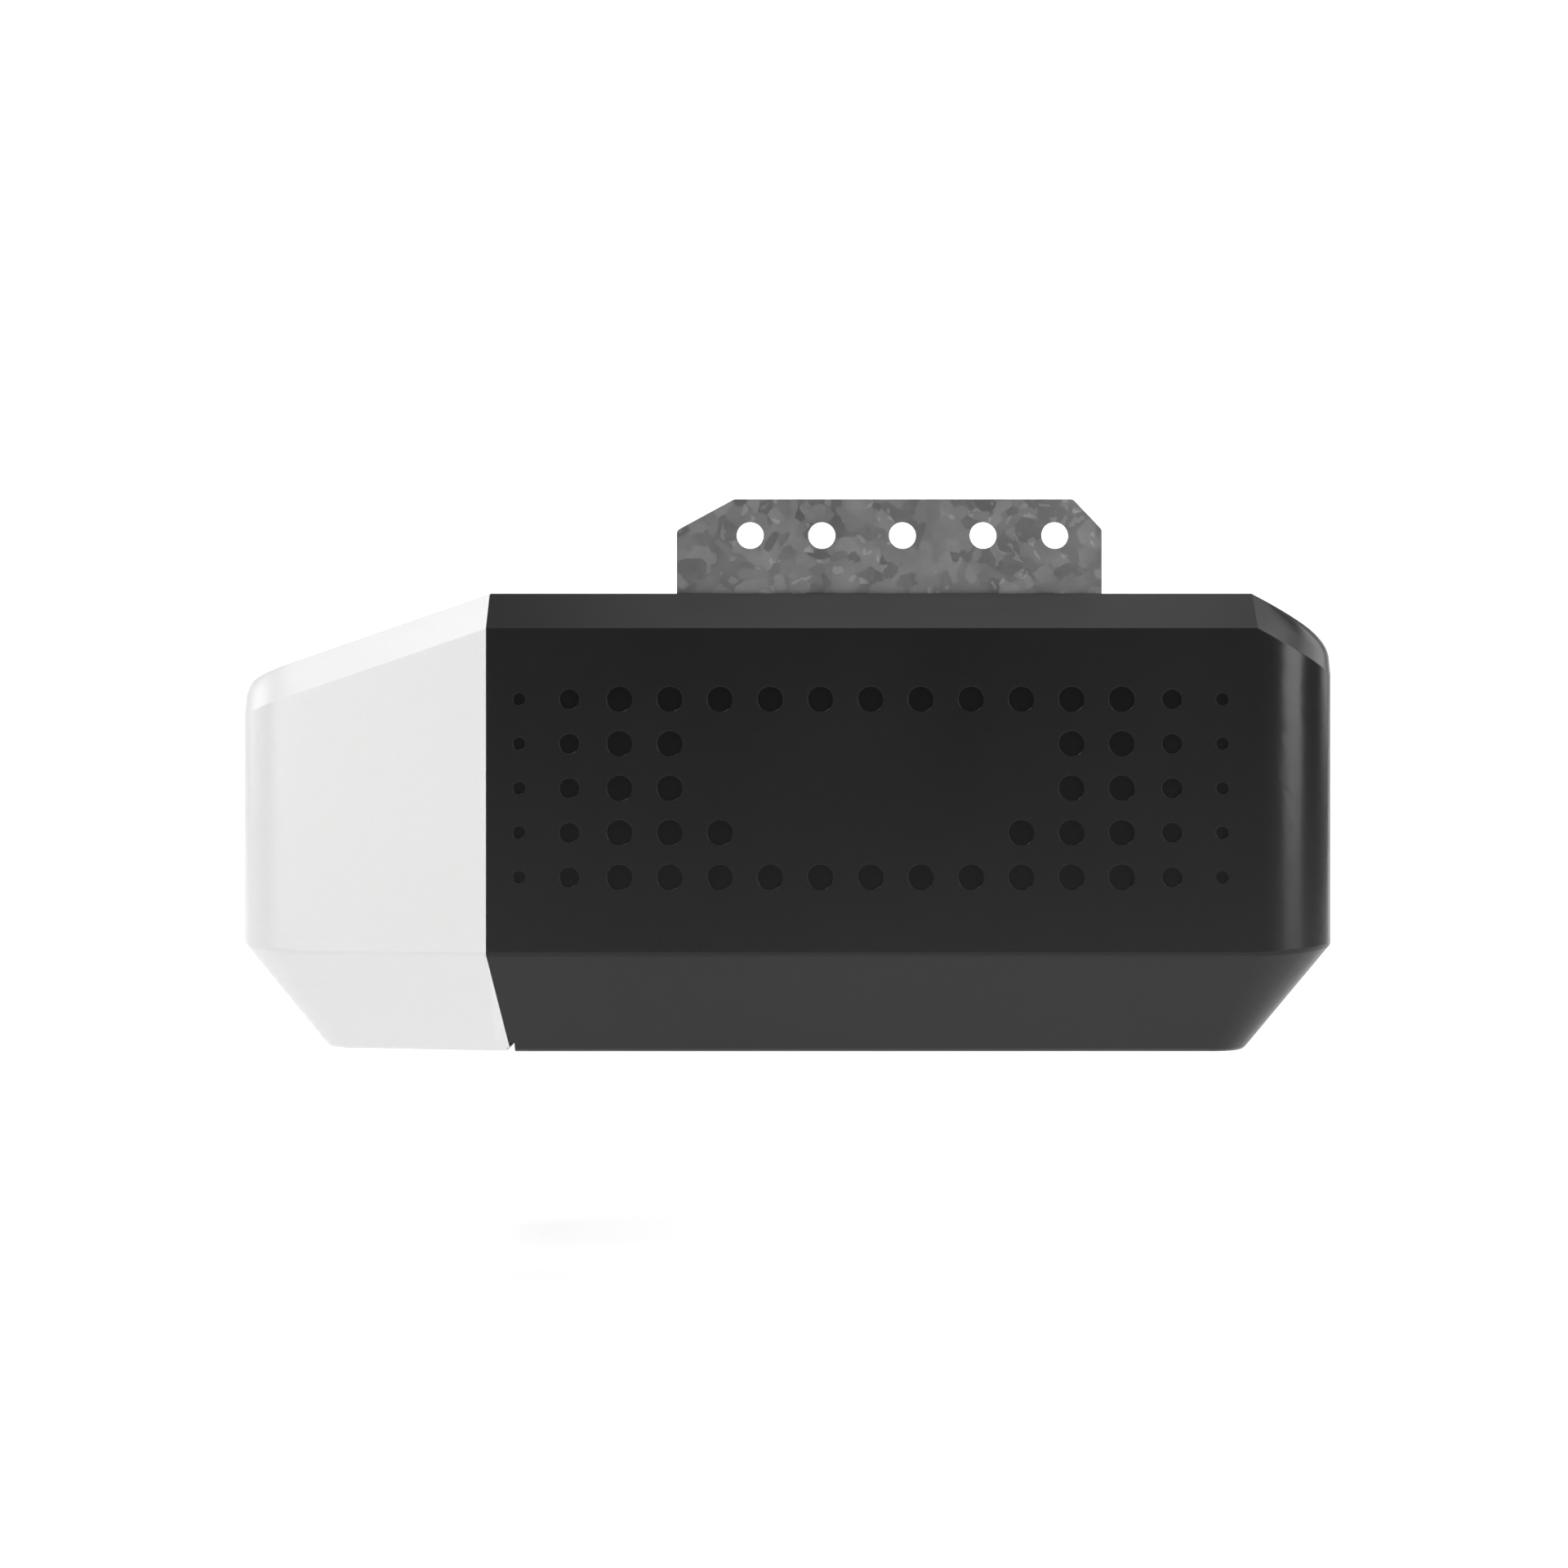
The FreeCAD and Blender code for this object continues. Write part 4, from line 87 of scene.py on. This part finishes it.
# ---------------------------------------------------------------- node helpers
class Shader:
    """A material with its Principled BSDF and short ways to add and wire nodes."""

    def __init__(self, name, colour, roughness, **sockets):
        self.material = bpy.data.materials.new(name)
        self.material.use_nodes = True
        self.tree = self.material.node_tree
        self.bsdf = self.tree.nodes["Principled BSDF"]
        self.bsdf.inputs["Base Color"].default_value = (*colour, 1.0)
        self.bsdf.inputs["Roughness"].default_value = roughness
        for socket, value in sockets.items():
            self.bsdf.inputs[socket.replace("_", " ")].default_value = value
        self.place = self.node("ShaderNodeTexCoord").outputs["Object"]

    def node(self, kind, settings=None, **inputs):
        made = self.tree.nodes.new(kind)
        for key, value in (settings or {}).items():
            setattr(made, key, value)
        for key, value in inputs.items():
            self.feed(made.inputs[key.replace("_", " ")], value)
        return made

    def feed(self, socket, value):
        if isinstance(value, bpy.types.NodeSocket):
            self.tree.links.new(value, socket)
        else:
            socket.default_value = value

    def noise(self, scale, detail=2.0, roughness=0.5):
        made = self.node("ShaderNodeTexNoise", Scale=scale, Detail=detail, Roughness=roughness,
                         Vector=self.place)
        return made.outputs["Fac"]

    def ragged(self, scale, amount):
        """The object's own coordinates, pushed about a little by noise."""
        wobble = self.node("ShaderNodeTexNoise", Scale=scale, Detail=3.0, Vector=self.place)
        push = self.node("ShaderNodeVectorMath", {"operation": "SCALE"}, Scale=amount)
        self.feed(push.inputs[0], wobble.outputs["Color"])
        moved = self.node("ShaderNodeVectorMath", {"operation": "ADD"})
        self.feed(moved.inputs[0], self.place)
        self.feed(moved.inputs[1], push.outputs[0])
        return moved.outputs[0]

    def cells(self, scale, vector=None, output="Color"):
        made = self.node("ShaderNodeTexVoronoi", Scale=scale, Vector=vector or self.place)
        return made.outputs[output]

    def channel(self, colour, number):
        return self.node("ShaderNodeSeparateColor", Color=colour).outputs[number]

    def bands(self, scale, direction, distortion=0.0):
        made = self.node("ShaderNodeTexWave", {"bands_direction": direction}, Scale=scale,
                         Distortion=distortion, Vector=self.place)
        return made.outputs["Fac"]

    def remap(self, value, low, high, from_low=0.0, from_high=1.0):
        made = self.node("ShaderNodeMapRange", Value=value, From_Min=from_low, From_Max=from_high,
                         To_Min=low, To_Max=high)
        return made.outputs["Result"]

    def mix(self, factor, first, second):
        """Mixes two colours; sockets 6 and 7 are the node's colours and output 2 is the mixed one."""
        made = self.node("ShaderNodeMix", {"data_type": "RGBA"}, Factor=factor)
        self.feed(made.inputs[6], first if isinstance(first, bpy.types.NodeSocket) else (*first, 1.0))
        self.feed(made.inputs[7], second if isinstance(second, bpy.types.NodeSocket) else (*second, 1.0))
        return made.outputs[2]

    def maths(self, operation, first, second=0.0):
        made = self.node("ShaderNodeMath", {"operation": operation})
        self.feed(made.inputs[0], first)
        self.feed(made.inputs[1], second)
        return made.outputs[0]

    def colour(self, socket):
        self.feed(self.bsdf.inputs["Base Color"], socket)

    def rough(self, socket):
        self.feed(self.bsdf.inputs["Roughness"], socket)

    def bump(self, height, strength, distance, rounding=0.0):
        """Fine relief, over edges softened by the rounding radius."""
        made = self.node("ShaderNodeBump", Height=height, Strength=strength, Distance=distance)
        if rounding:
            soft = self.node("ShaderNodeBevel", {"samples": 6}, Radius=rounding)
            self.feed(made.inputs["Normal"], soft.outputs["Normal"])
        self.feed(self.bsdf.inputs["Normal"], made.outputs["Normal"])

    def edges(self):
        """1 along worn outer edges, 0 elsewhere."""
        point = self.node("ShaderNodeNewGeometry").outputs["Pointiness"]
        return self.remap(point, 0.0, 1.0, *WORN_POINTINESS)


def shade(colour, share):
    """The colour, darker where the share is under 1 and lighter where it is over."""
    return tuple(c * share for c in colour)


# ---------------------------------------------------------------- plastics
def moulded_plastic(name, colour, roughness, grain=1800.0, grain_height=0.03, rounding=0.3, sheen=0.05,
                    **sockets):
    """Injection-moulded plastic: fine spark-eroded grain, faint flow marks and uneven sheen."""
    s = Shader(name, colour, roughness, **sockets)
    flow = s.noise(14.0, 3.0, 0.55)
    s.colour(s.mix(s.remap(flow, 0.0, 1.0, 0.3, 0.7), shade(colour, 0.9), shade(colour, 1.1)))
    s.rough(s.remap(s.noise(24.0, 2.0, 0.4), roughness - sheen, roughness + sheen, 0.25, 0.75))
    s.bump(s.noise(grain, 3.0, 0.6), grain_height, 0.2 * MM, rounding * MM)
    return s


def recess_shade_mask(s):
    """1 on the floors of the cover's round recesses, where shade is painted, 0 elsewhere."""
    split = s.node("ShaderNodeSeparateXYZ", Vector=s.place)
    across = s.maths("ABSOLUTE", split.outputs["Y"])
    mask = s.maths("LESS_THAN", across, RECESS_FLOORS[1])
    limits = (
        ("GREATER_THAN", across, RECESS_FLOORS[0]),
        ("GREATER_THAN", split.outputs["Z"], RECESS_HEIGHTS[0]),
        ("LESS_THAN", split.outputs["Z"], RECESS_HEIGHTS[1]),
        ("LESS_THAN", split.outputs["X"], RECESS_END_X),
    )
    for test, value, limit in limits:
        mask = s.maths("MULTIPLY", mask, s.maths(test, value, limit))
    return mask


def housing_plastic():
    """Satin black shell; the floors of its round recesses are darkened with painted shade."""
    colour = (0.0088, 0.0088, 0.0091)
    s = moulded_plastic("housing", colour, 0.26, grain=2600.0, grain_height=0.008, sheen=0.012,
                        Specular_IOR_Level=0.30)
    skin = s.bsdf.inputs["Base Color"].links[0].from_socket
    # painted shade: the recess floors get a darker copy of the housing's colour
    s.colour(s.mix(recess_shade_mask(s), skin, shade(colour, RECESS_SHADE_SHARE)))
    return s


def lens_plastic():
    """Milky diffusing plastic with a fine frosted face."""
    colour = (0.68, 0.68, 0.68)
    s = moulded_plastic("lens", colour, 0.33, grain=1500.0, grain_height=0.02, rounding=0.4, sheen=0.02,
                        Subsurface_Weight=0.15, Subsurface_Scale=0.002, Specular_IOR_Level=0.7)
    s.colour(s.mix(s.noise(9.0, 2.0), shade(colour, 0.985), shade(colour, 1.01)))
    return s


def rubber(name):
    return moulded_plastic(name, (0.02, 0.02, 0.02), 0.62, grain=900.0, grain_height=0.12)


# ---------------------------------------------------------------- metals
def galvanised(name):
    """Hot-dipped sheet: soft crystal spangle, cloudy patches and a few bright flecks."""
    spangle_share = 0.25
    fleck_limit = 0.95
    fleck_strength = 0.5
    s = Shader(name, (0.2, 0.2, 0.2), 0.42, Metallic=1.0)
    ragged = s.ragged(90.0, 0.012)
    spangle = s.channel(s.cells(210.0, ragged), 0)
    cloud = s.noise(55.0, 5.0, 0.6)
    clouds = s.remap(cloud, 0.0, 1.0 - spangle_share, 0.25, 0.75)
    tone = s.maths("ADD", s.maths("MULTIPLY", spangle, spangle_share), clouds)
    body = s.mix(tone, (0.205, 0.206, 0.210), (0.335, 0.335, 0.335))
    flecks = s.maths("GREATER_THAN", s.channel(s.cells(460.0, ragged), 1), fleck_limit)
    s.colour(s.mix(s.maths("MULTIPLY", flecks, fleck_strength), body, (0.46, 0.46, 0.46)))
    s.rough(s.remap(spangle, 0.38, 0.50))
    s.bump(s.maths("ADD", spangle, cloud), 0.06, 0.1 * MM, 0.35 * MM)
    return s


def plated(name, colour, roughness=0.3, wear=(0.75, 0.75, 0.74)):
    """Plated or turned metal with fine tool lines, stains and brighter worn edges."""
    s = Shader(name, colour, roughness, Metallic=1.0)
    stain = s.noise(220.0, 4.0, 0.6)
    body = s.mix(s.remap(stain, 0.0, 1.0, 0.35, 0.7), shade(colour, 0.72), colour)
    s.colour(s.mix(s.edges(), body, wear))
    s.rough(s.remap(s.noise(500.0, 3.0), roughness - 0.08, roughness + 0.14, 0.3, 0.7))
    s.bump(s.noise(1600.0, 2.0), 0.06, 0.1 * MM, 0.25 * MM)
    return s


def cast_aluminium(name):
    s = Shader(name, (0.50, 0.505, 0.51), 0.5, Metallic=1.0)
    s.colour(s.mix(s.noise(90.0, 5.0, 0.65), (0.36, 0.36, 0.37), (0.60, 0.605, 0.61)))
    s.rough(s.remap(s.noise(300.0, 3.0), 0.42, 0.62))
    s.bump(s.noise(700.0, 4.0, 0.7), 0.25, 0.2 * MM, 0.4 * MM)
    return s


def stacked_laminations(name, direction):
    """Varnished electrical steel: the stack shows as fine lines across the given direction."""
    s = Shader(name, (0.10, 0.10, 0.105), 0.45, Metallic=0.8)
    lines = s.bands(320.0, direction)
    s.colour(s.mix(lines, (0.045, 0.045, 0.048), (0.17, 0.17, 0.175)))
    s.rough(s.remap(s.noise(120.0, 3.0), 0.35, 0.6))
    s.bump(lines, 0.35, 0.2 * MM, 0.2 * MM)
    return s


def wound_copper(name):
    """Lacquered magnet wire lying in close turns."""
    s = Shader(name, (0.55, 0.20, 0.07), 0.28, Metallic=0.9, Coat_Weight=0.6)
    turns = s.bands(520.0, "DIAGONAL", 1.2)
    s.colour(s.mix(turns, (0.25, 0.075, 0.025), (0.66, 0.27, 0.10)))
    s.bump(turns, 0.6, 0.4 * MM)
    return s


def wound_tape(name):
    s = Shader(name, (0.72, 0.55, 0.12), 0.35, Coat_Weight=0.4)
    laps = s.bands(90.0, "Z", 0.6)
    s.colour(s.mix(laps, (0.55, 0.40, 0.07), (0.80, 0.64, 0.20)))
    s.rough(s.remap(s.noise(90.0, 3.0), 0.25, 0.5))
    s.bump(laps, 0.3, 0.3 * MM, 0.4 * MM)
    return s


# ---------------------------------------------------------------- others
def glazed_ceramic(name):
    s = Shader(name, (0.86, 0.85, 0.82), 0.16, Coat_Weight=0.7)
    s.colour(s.mix(s.noise(110.0, 5.0, 0.6), (0.78, 0.765, 0.73), (0.90, 0.89, 0.865)))
    s.bump(s.noise(70.0, 2.0), 0.10, 0.4 * MM, 0.5 * MM)
    return s


def frosted_bulb(name):
    s = Shader(name, (0.92, 0.92, 0.905), 0.32, Subsurface_Weight=0.5, Subsurface_Scale=0.006)
    s.colour(s.mix(s.noise(40.0, 2.0), (0.90, 0.90, 0.88), (0.94, 0.94, 0.925)))
    s.bump(s.noise(2200.0, 2.0), 0.04, 0.1 * MM)
    return s


def circuit_board(name):
    """Green solder mask over copper tracks, with tinned pads."""
    s = Shader(name, (0.015, 0.14, 0.06), 0.3, Coat_Weight=0.5)
    tracks = s.node("ShaderNodeTexBrick", {"offset": 0.35, "squash": 0.6}, Vector=s.place, Scale=140.0,
                    Mortar_Size=0.05, Color1=(0, 0, 0, 1), Color2=(0, 0, 0, 1), Mortar=(1, 1, 1, 1))
    weave = s.noise(400.0, 2.0)
    green = s.mix(weave, (0.010, 0.105, 0.045), (0.018, 0.15, 0.065))
    traced = s.mix(tracks.outputs["Color"], green, (0.035, 0.24, 0.10))
    pads = s.maths("LESS_THAN", s.cells(330.0, output="Distance"), 0.16)
    s.colour(s.mix(pads, traced, (0.62, 0.61, 0.56)))
    s.rough(s.remap(weave, 0.24, 0.4))
    s.bump(tracks.outputs["Fac"], 0.2, 0.1 * MM)
    return s


def clear_plastic(name):
    s = Shader(name, (0.85, 0.87, 0.88), 0.12, Transmission_Weight=0.6, IOR=1.49)
    s.bump(s.noise(500.0), 0.03, 0.1 * MM, 0.2 * MM)
    return s


# ---------------------------------------------------------------- which node takes which material
MATERIALS = {
    "housing": housing_plastic(),
    "lens": lens_plastic(),
    "galvanised": galvanised("galvanised"),
    "zinc_screws": plated("zinc_screws", (0.60, 0.60, 0.575)),
    "steel": plated("steel", (0.52, 0.52, 0.53), 0.26),
    "dark_steel": plated("dark_steel", (0.085, 0.085, 0.09), 0.42, wear=(0.32, 0.32, 0.33)),
    "bronze": plated("bronze", (0.50, 0.32, 0.15), 0.4, wear=(0.68, 0.48, 0.26)),
    "nylon_gear": moulded_plastic("nylon_gear", (0.74, 0.71, 0.62), 0.42, Subsurface_Weight=0.15,
                                  Subsurface_Scale=0.002),
    "laminations": stacked_laminations("laminations", "X"),
    "copper": wound_copper("copper"),
    "bell_casting": cast_aluminium("bell_casting"),
    "black_plastic": moulded_plastic("black_plastic", (0.018, 0.018, 0.019), 0.45),
    "rubber": rubber("rubber"),
    "coil_tape": wound_tape("coil_tape"),
    "capacitor_can": plated("capacitor_can", (0.60, 0.61, 0.62), 0.34),
    "white_plastic": moulded_plastic("white_plastic", (0.78, 0.78, 0.76), 0.42),
    "ceramic": glazed_ceramic("ceramic"),
    "brass_shell": plated("brass_shell", (0.66, 0.47, 0.18), 0.25, wear=(0.86, 0.70, 0.38)),
    "bulb_cap": plated("bulb_cap", (0.68, 0.68, 0.67), 0.24),
    "bulb_body": moulded_plastic("bulb_body", (0.86, 0.86, 0.84), 0.3),
    "bulb_glass": frosted_bulb("bulb_glass"),
    "panel": moulded_plastic("panel", (0.028, 0.028, 0.030), 0.5, grain=1200.0, grain_height=0.08),
    "light_pipe": clear_plastic("light_pipe"),
    "board": circuit_board("board"),
    "components": moulded_plastic("components", (0.022, 0.022, 0.024), 0.48),
    "relay": moulded_plastic("relay", (0.03, 0.09, 0.32), 0.3),
    "connector": moulded_plastic("connector", (0.80, 0.77, 0.66), 0.4),
    "button_grey": moulded_plastic("button_grey", (0.30, 0.30, 0.31), 0.42, grain=1500.0),
    "button_yellow": moulded_plastic("button_yellow", (0.78, 0.50, 0.03), 0.38),
    "terminal": moulded_plastic("terminal", (0.022, 0.022, 0.023), 0.42),
    "tab_red": moulded_plastic("tab_red", (0.52, 0.02, 0.02), 0.36),
    "tab_white": moulded_plastic("tab_white", (0.80, 0.80, 0.78), 0.38),
    "tab_grey": moulded_plastic("tab_grey", (0.28, 0.28, 0.29), 0.4),
}


def paint(node, shader):
    """Give a node this material alone."""
    NODES[node].data.materials.clear()
    NODES[node].data.materials.append(shader.material)


for part in frame["record"]["subparts"]:
    paint(part["node"], MATERIALS[part["material_slot"]])
# the transformer's sheets are stacked across the unit, and the motor's along it
paint("transformer_core", stacked_laminations("transformer_laminations", "Y"))


# ---------------------------------------------------------------- real edge rounds
def round_edges(node, width):
    """Merge the flat triangles of a CAD node and round its sharp edges."""
    merge = NODES[node].modifiers.new("flat_faces", "DECIMATE")
    merge.decimate_type = "DISSOLVE"
    merge.angle_limit = FLAT_ANGLE
    bevel = NODES[node].modifiers.new("edge_rounds", "BEVEL")
    bevel.width = width
    bevel.segments = 2
    bevel.limit_method = "ANGLE"
    bevel.angle_limit = SHARP_ANGLE


EDGE_ROUNDS = {
    0.25 * MM: ("chassis_screws", "rail_bolts", "isolator_bolts", "sprocket", "rail_bracket"),
    0.2 * MM: ("control_panel", "terminal_block", "inlet_grommet"),
}
for width, names in EDGE_ROUNDS.items():
    for name in names:
        round_edges(name, width)


# ---------------------------------------------------------------- studio
def backdrop_profile():
    """(y, height above the floor, half width) from the front edge of the floor to the top of the wall."""
    bend_start = WALL_BACK - BEND
    profile = [(FLOOR_FRONT, 0.0, FLOOR_HALF), (bend_start, 0.0, FLOOR_HALF)]
    for i in range(1, BEND_STEPS + 1):
        share = i / BEND_STEPS
        turn = math.pi / 2 * share
        half = FLOOR_HALF + (WALL_HALF - FLOOR_HALF) * share
        profile.append((bend_start + BEND * math.sin(turn), BEND - BEND * math.cos(turn), half))
    profile.append((WALL_BACK, WALL_HEIGHT, WALL_HALF))
    return profile


def glow(paper):
    """How strongly the paper glows: painted light under the object that fills its shadow, and more far
    away from it.
    """
    reach = paper.node("ShaderNodeVectorMath", {"operation": "DISTANCE"})
    paper.feed(reach.inputs[0], paper.place)
    paper.feed(reach.inputs[1], GLOW_MIDDLE)
    distance = reach.outputs["Value"]
    # painted light that fills the object's shadow on the floor
    under = paper.remap(distance, FLOOR_GLOW + SHADOW_FILL_GLOW, FLOOR_GLOW, *SHADOW_FILL_REACH)
    far = paper.remap(distance, 0.0, FAR_GLOW, *FAR_REACH)
    return paper.maths("ADD", under, far)


def backdrop_paper():
    """White paper that is clear when seen from behind or below."""
    paper = Shader("backdrop_paper", (PAPER, PAPER, PAPER), 0.8, Emission_Color=WHITE)
    darkest = (PAPER - PAPER_CLOUDS,) * 3
    lightest = (PAPER + PAPER_CLOUDS,) * 3
    paper.colour(paper.mix(paper.noise(3.0), darkest, lightest))
    paper.feed(paper.bsdf.inputs["Emission Strength"], glow(paper))
    behind = paper.node("ShaderNodeNewGeometry").outputs["Backfacing"]
    clear = paper.node("ShaderNodeBsdfTransparent")
    one_sided = paper.node("ShaderNodeMixShader", Fac=behind)
    paper.feed(one_sided.inputs[1], paper.bsdf.outputs["BSDF"])
    paper.feed(one_sided.inputs[2], clear.outputs["BSDF"])
    paper.feed(paper.tree.nodes["Material Output"].inputs["Surface"], one_sided.outputs["Shader"])
    return paper


def make_backdrop():
    """White floor that curves up into a narrower wall behind the object."""
    profile = backdrop_profile()
    points = [(side * half, y, z - FLOOR_DROP) for y, z, half in profile for side in (-1, 1)]
    faces = [(2 * i, 2 * i + 1, 2 * i + 3, 2 * i + 2) for i in range(len(profile) - 1)]
    mesh = bpy.data.meshes.new("backdrop")
    mesh.from_pydata(points, [], faces)
    mesh.shade_smooth()
    mesh.materials.append(backdrop_paper().material)
    backdrop = bpy.data.objects.new("backdrop", mesh)
    bpy.context.scene.collection.objects.link(backdrop)


def softbox(name, place, target, size, power):
    light = bpy.data.lights.new(name, "AREA")
    light.shape = "RECTANGLE"
    light.size, light.size_y = size
    light.energy = power
    lamp = bpy.data.objects.new(name, light)
    lamp.location = place
    lamp.rotation_euler = (Vector(target) - Vector(place)).to_track_quat("-Z", "Y").to_euler()
    lamp.visible_camera = False
    bpy.context.scene.collection.objects.link(lamp)


def make_world():
    """Soft fill; seen directly it is white."""
    world = bpy.data.worlds.new("studio")
    world.use_nodes = True
    tree = world.node_tree
    fill = tree.nodes["Background"]
    fill.inputs["Color"].default_value = WHITE
    fill.inputs["Strength"].default_value = WORLD_FILL
    seen = tree.nodes.new("ShaderNodeBackground")
    seen.inputs["Color"].default_value = WHITE
    seen.inputs["Strength"].default_value = WORLD_SEEN
    choose = tree.nodes.new("ShaderNodeMixShader")
    path = tree.nodes.new("ShaderNodeLightPath")
    tree.links.new(path.outputs["Is Camera Ray"], choose.inputs[0])
    tree.links.new(fill.outputs[0], choose.inputs[1])
    tree.links.new(seen.outputs[0], choose.inputs[2])
    tree.links.new(choose.outputs[0], tree.nodes["World Output"].inputs["Surface"])
    bpy.context.scene.world = world


def make_lights():
    """Soft boxes, each with its place, what it points at, its size and its power."""
    middle = (0.0, 0.0, 0.09)
    softbox("overhead", (0.2, -1.15, 2.2), (0.05, -0.1, 0.05), (3.0, 1.5), 10.0)
    softbox("front_high", (0.0, -2.0, 2.0), (0.0, -0.1, 0.05), (3.0, 1.0), 10.5)
    softbox("top_strip", (0.2, 0.0, 2.2), (0.1, 0.0, 0.1), (0.5, 0.8), 2.5)
    softbox("lens_top", (-0.75, -0.3, 1.3), (-0.15, -0.08, 0.13), (0.5, 0.5), 12.0)
    softbox("slope_light", (2.0, -0.1, 2.0), (0.17, -0.05, 0.14), (1.3, 1.3), 24.0)
    softbox("right_front", (1.8, -1.22, 0.7), (0.17, -0.1, 0.09), (1.05, 1.3), 36.0)
    softbox("left_front", (-2.0, -1.3, 0.6), middle, (0.9, 1.3), 11.5)
    softbox("left_glint", (-1.35, -1.8, 0.3), middle, (0.3, 0.6), 2.0)
    softbox("left_back", (-2.2, 1.0, 0.8), middle, (1.0, 1.3), 12.0)
    softbox("right_back", (2.0, 1.2, 0.8), middle, (1.0, 1.3), 9.0)
    softbox("back_high", (0.5, 1.6, 1.8), middle, (2.0, 0.8), 14.0)
    softbox("wall_wash", (0.0, 1.0, 3.2), (0.0, 2.6, 1.0), (2.6, 1.0), 14.0)


def make_camera():
    """Looks level along +Y at the long side, as the photo does."""
    lens = bpy.data.cameras.new("camera")
    lens.sensor_width = SENSOR
    lens.lens = SENSOR * CAMERA_DISTANCE / VIEW_WIDTH
    lens.clip_start = 0.01
    camera = bpy.data.objects.new("camera", lens)
    camera.location = (0.0, cad_box[0].y - CAMERA_DISTANCE, CAMERA_HEIGHT)
    camera.rotation_euler = (math.pi / 2, 0.0, 0.0)
    bpy.context.scene.collection.objects.link(camera)
    bpy.context.scene.camera = camera


make_backdrop()
make_world()
make_lights()
make_camera()
bpy.context.scene.view_settings.view_transform = "Standard"
bpy.context.scene.view_settings.exposure = EXPOSURE
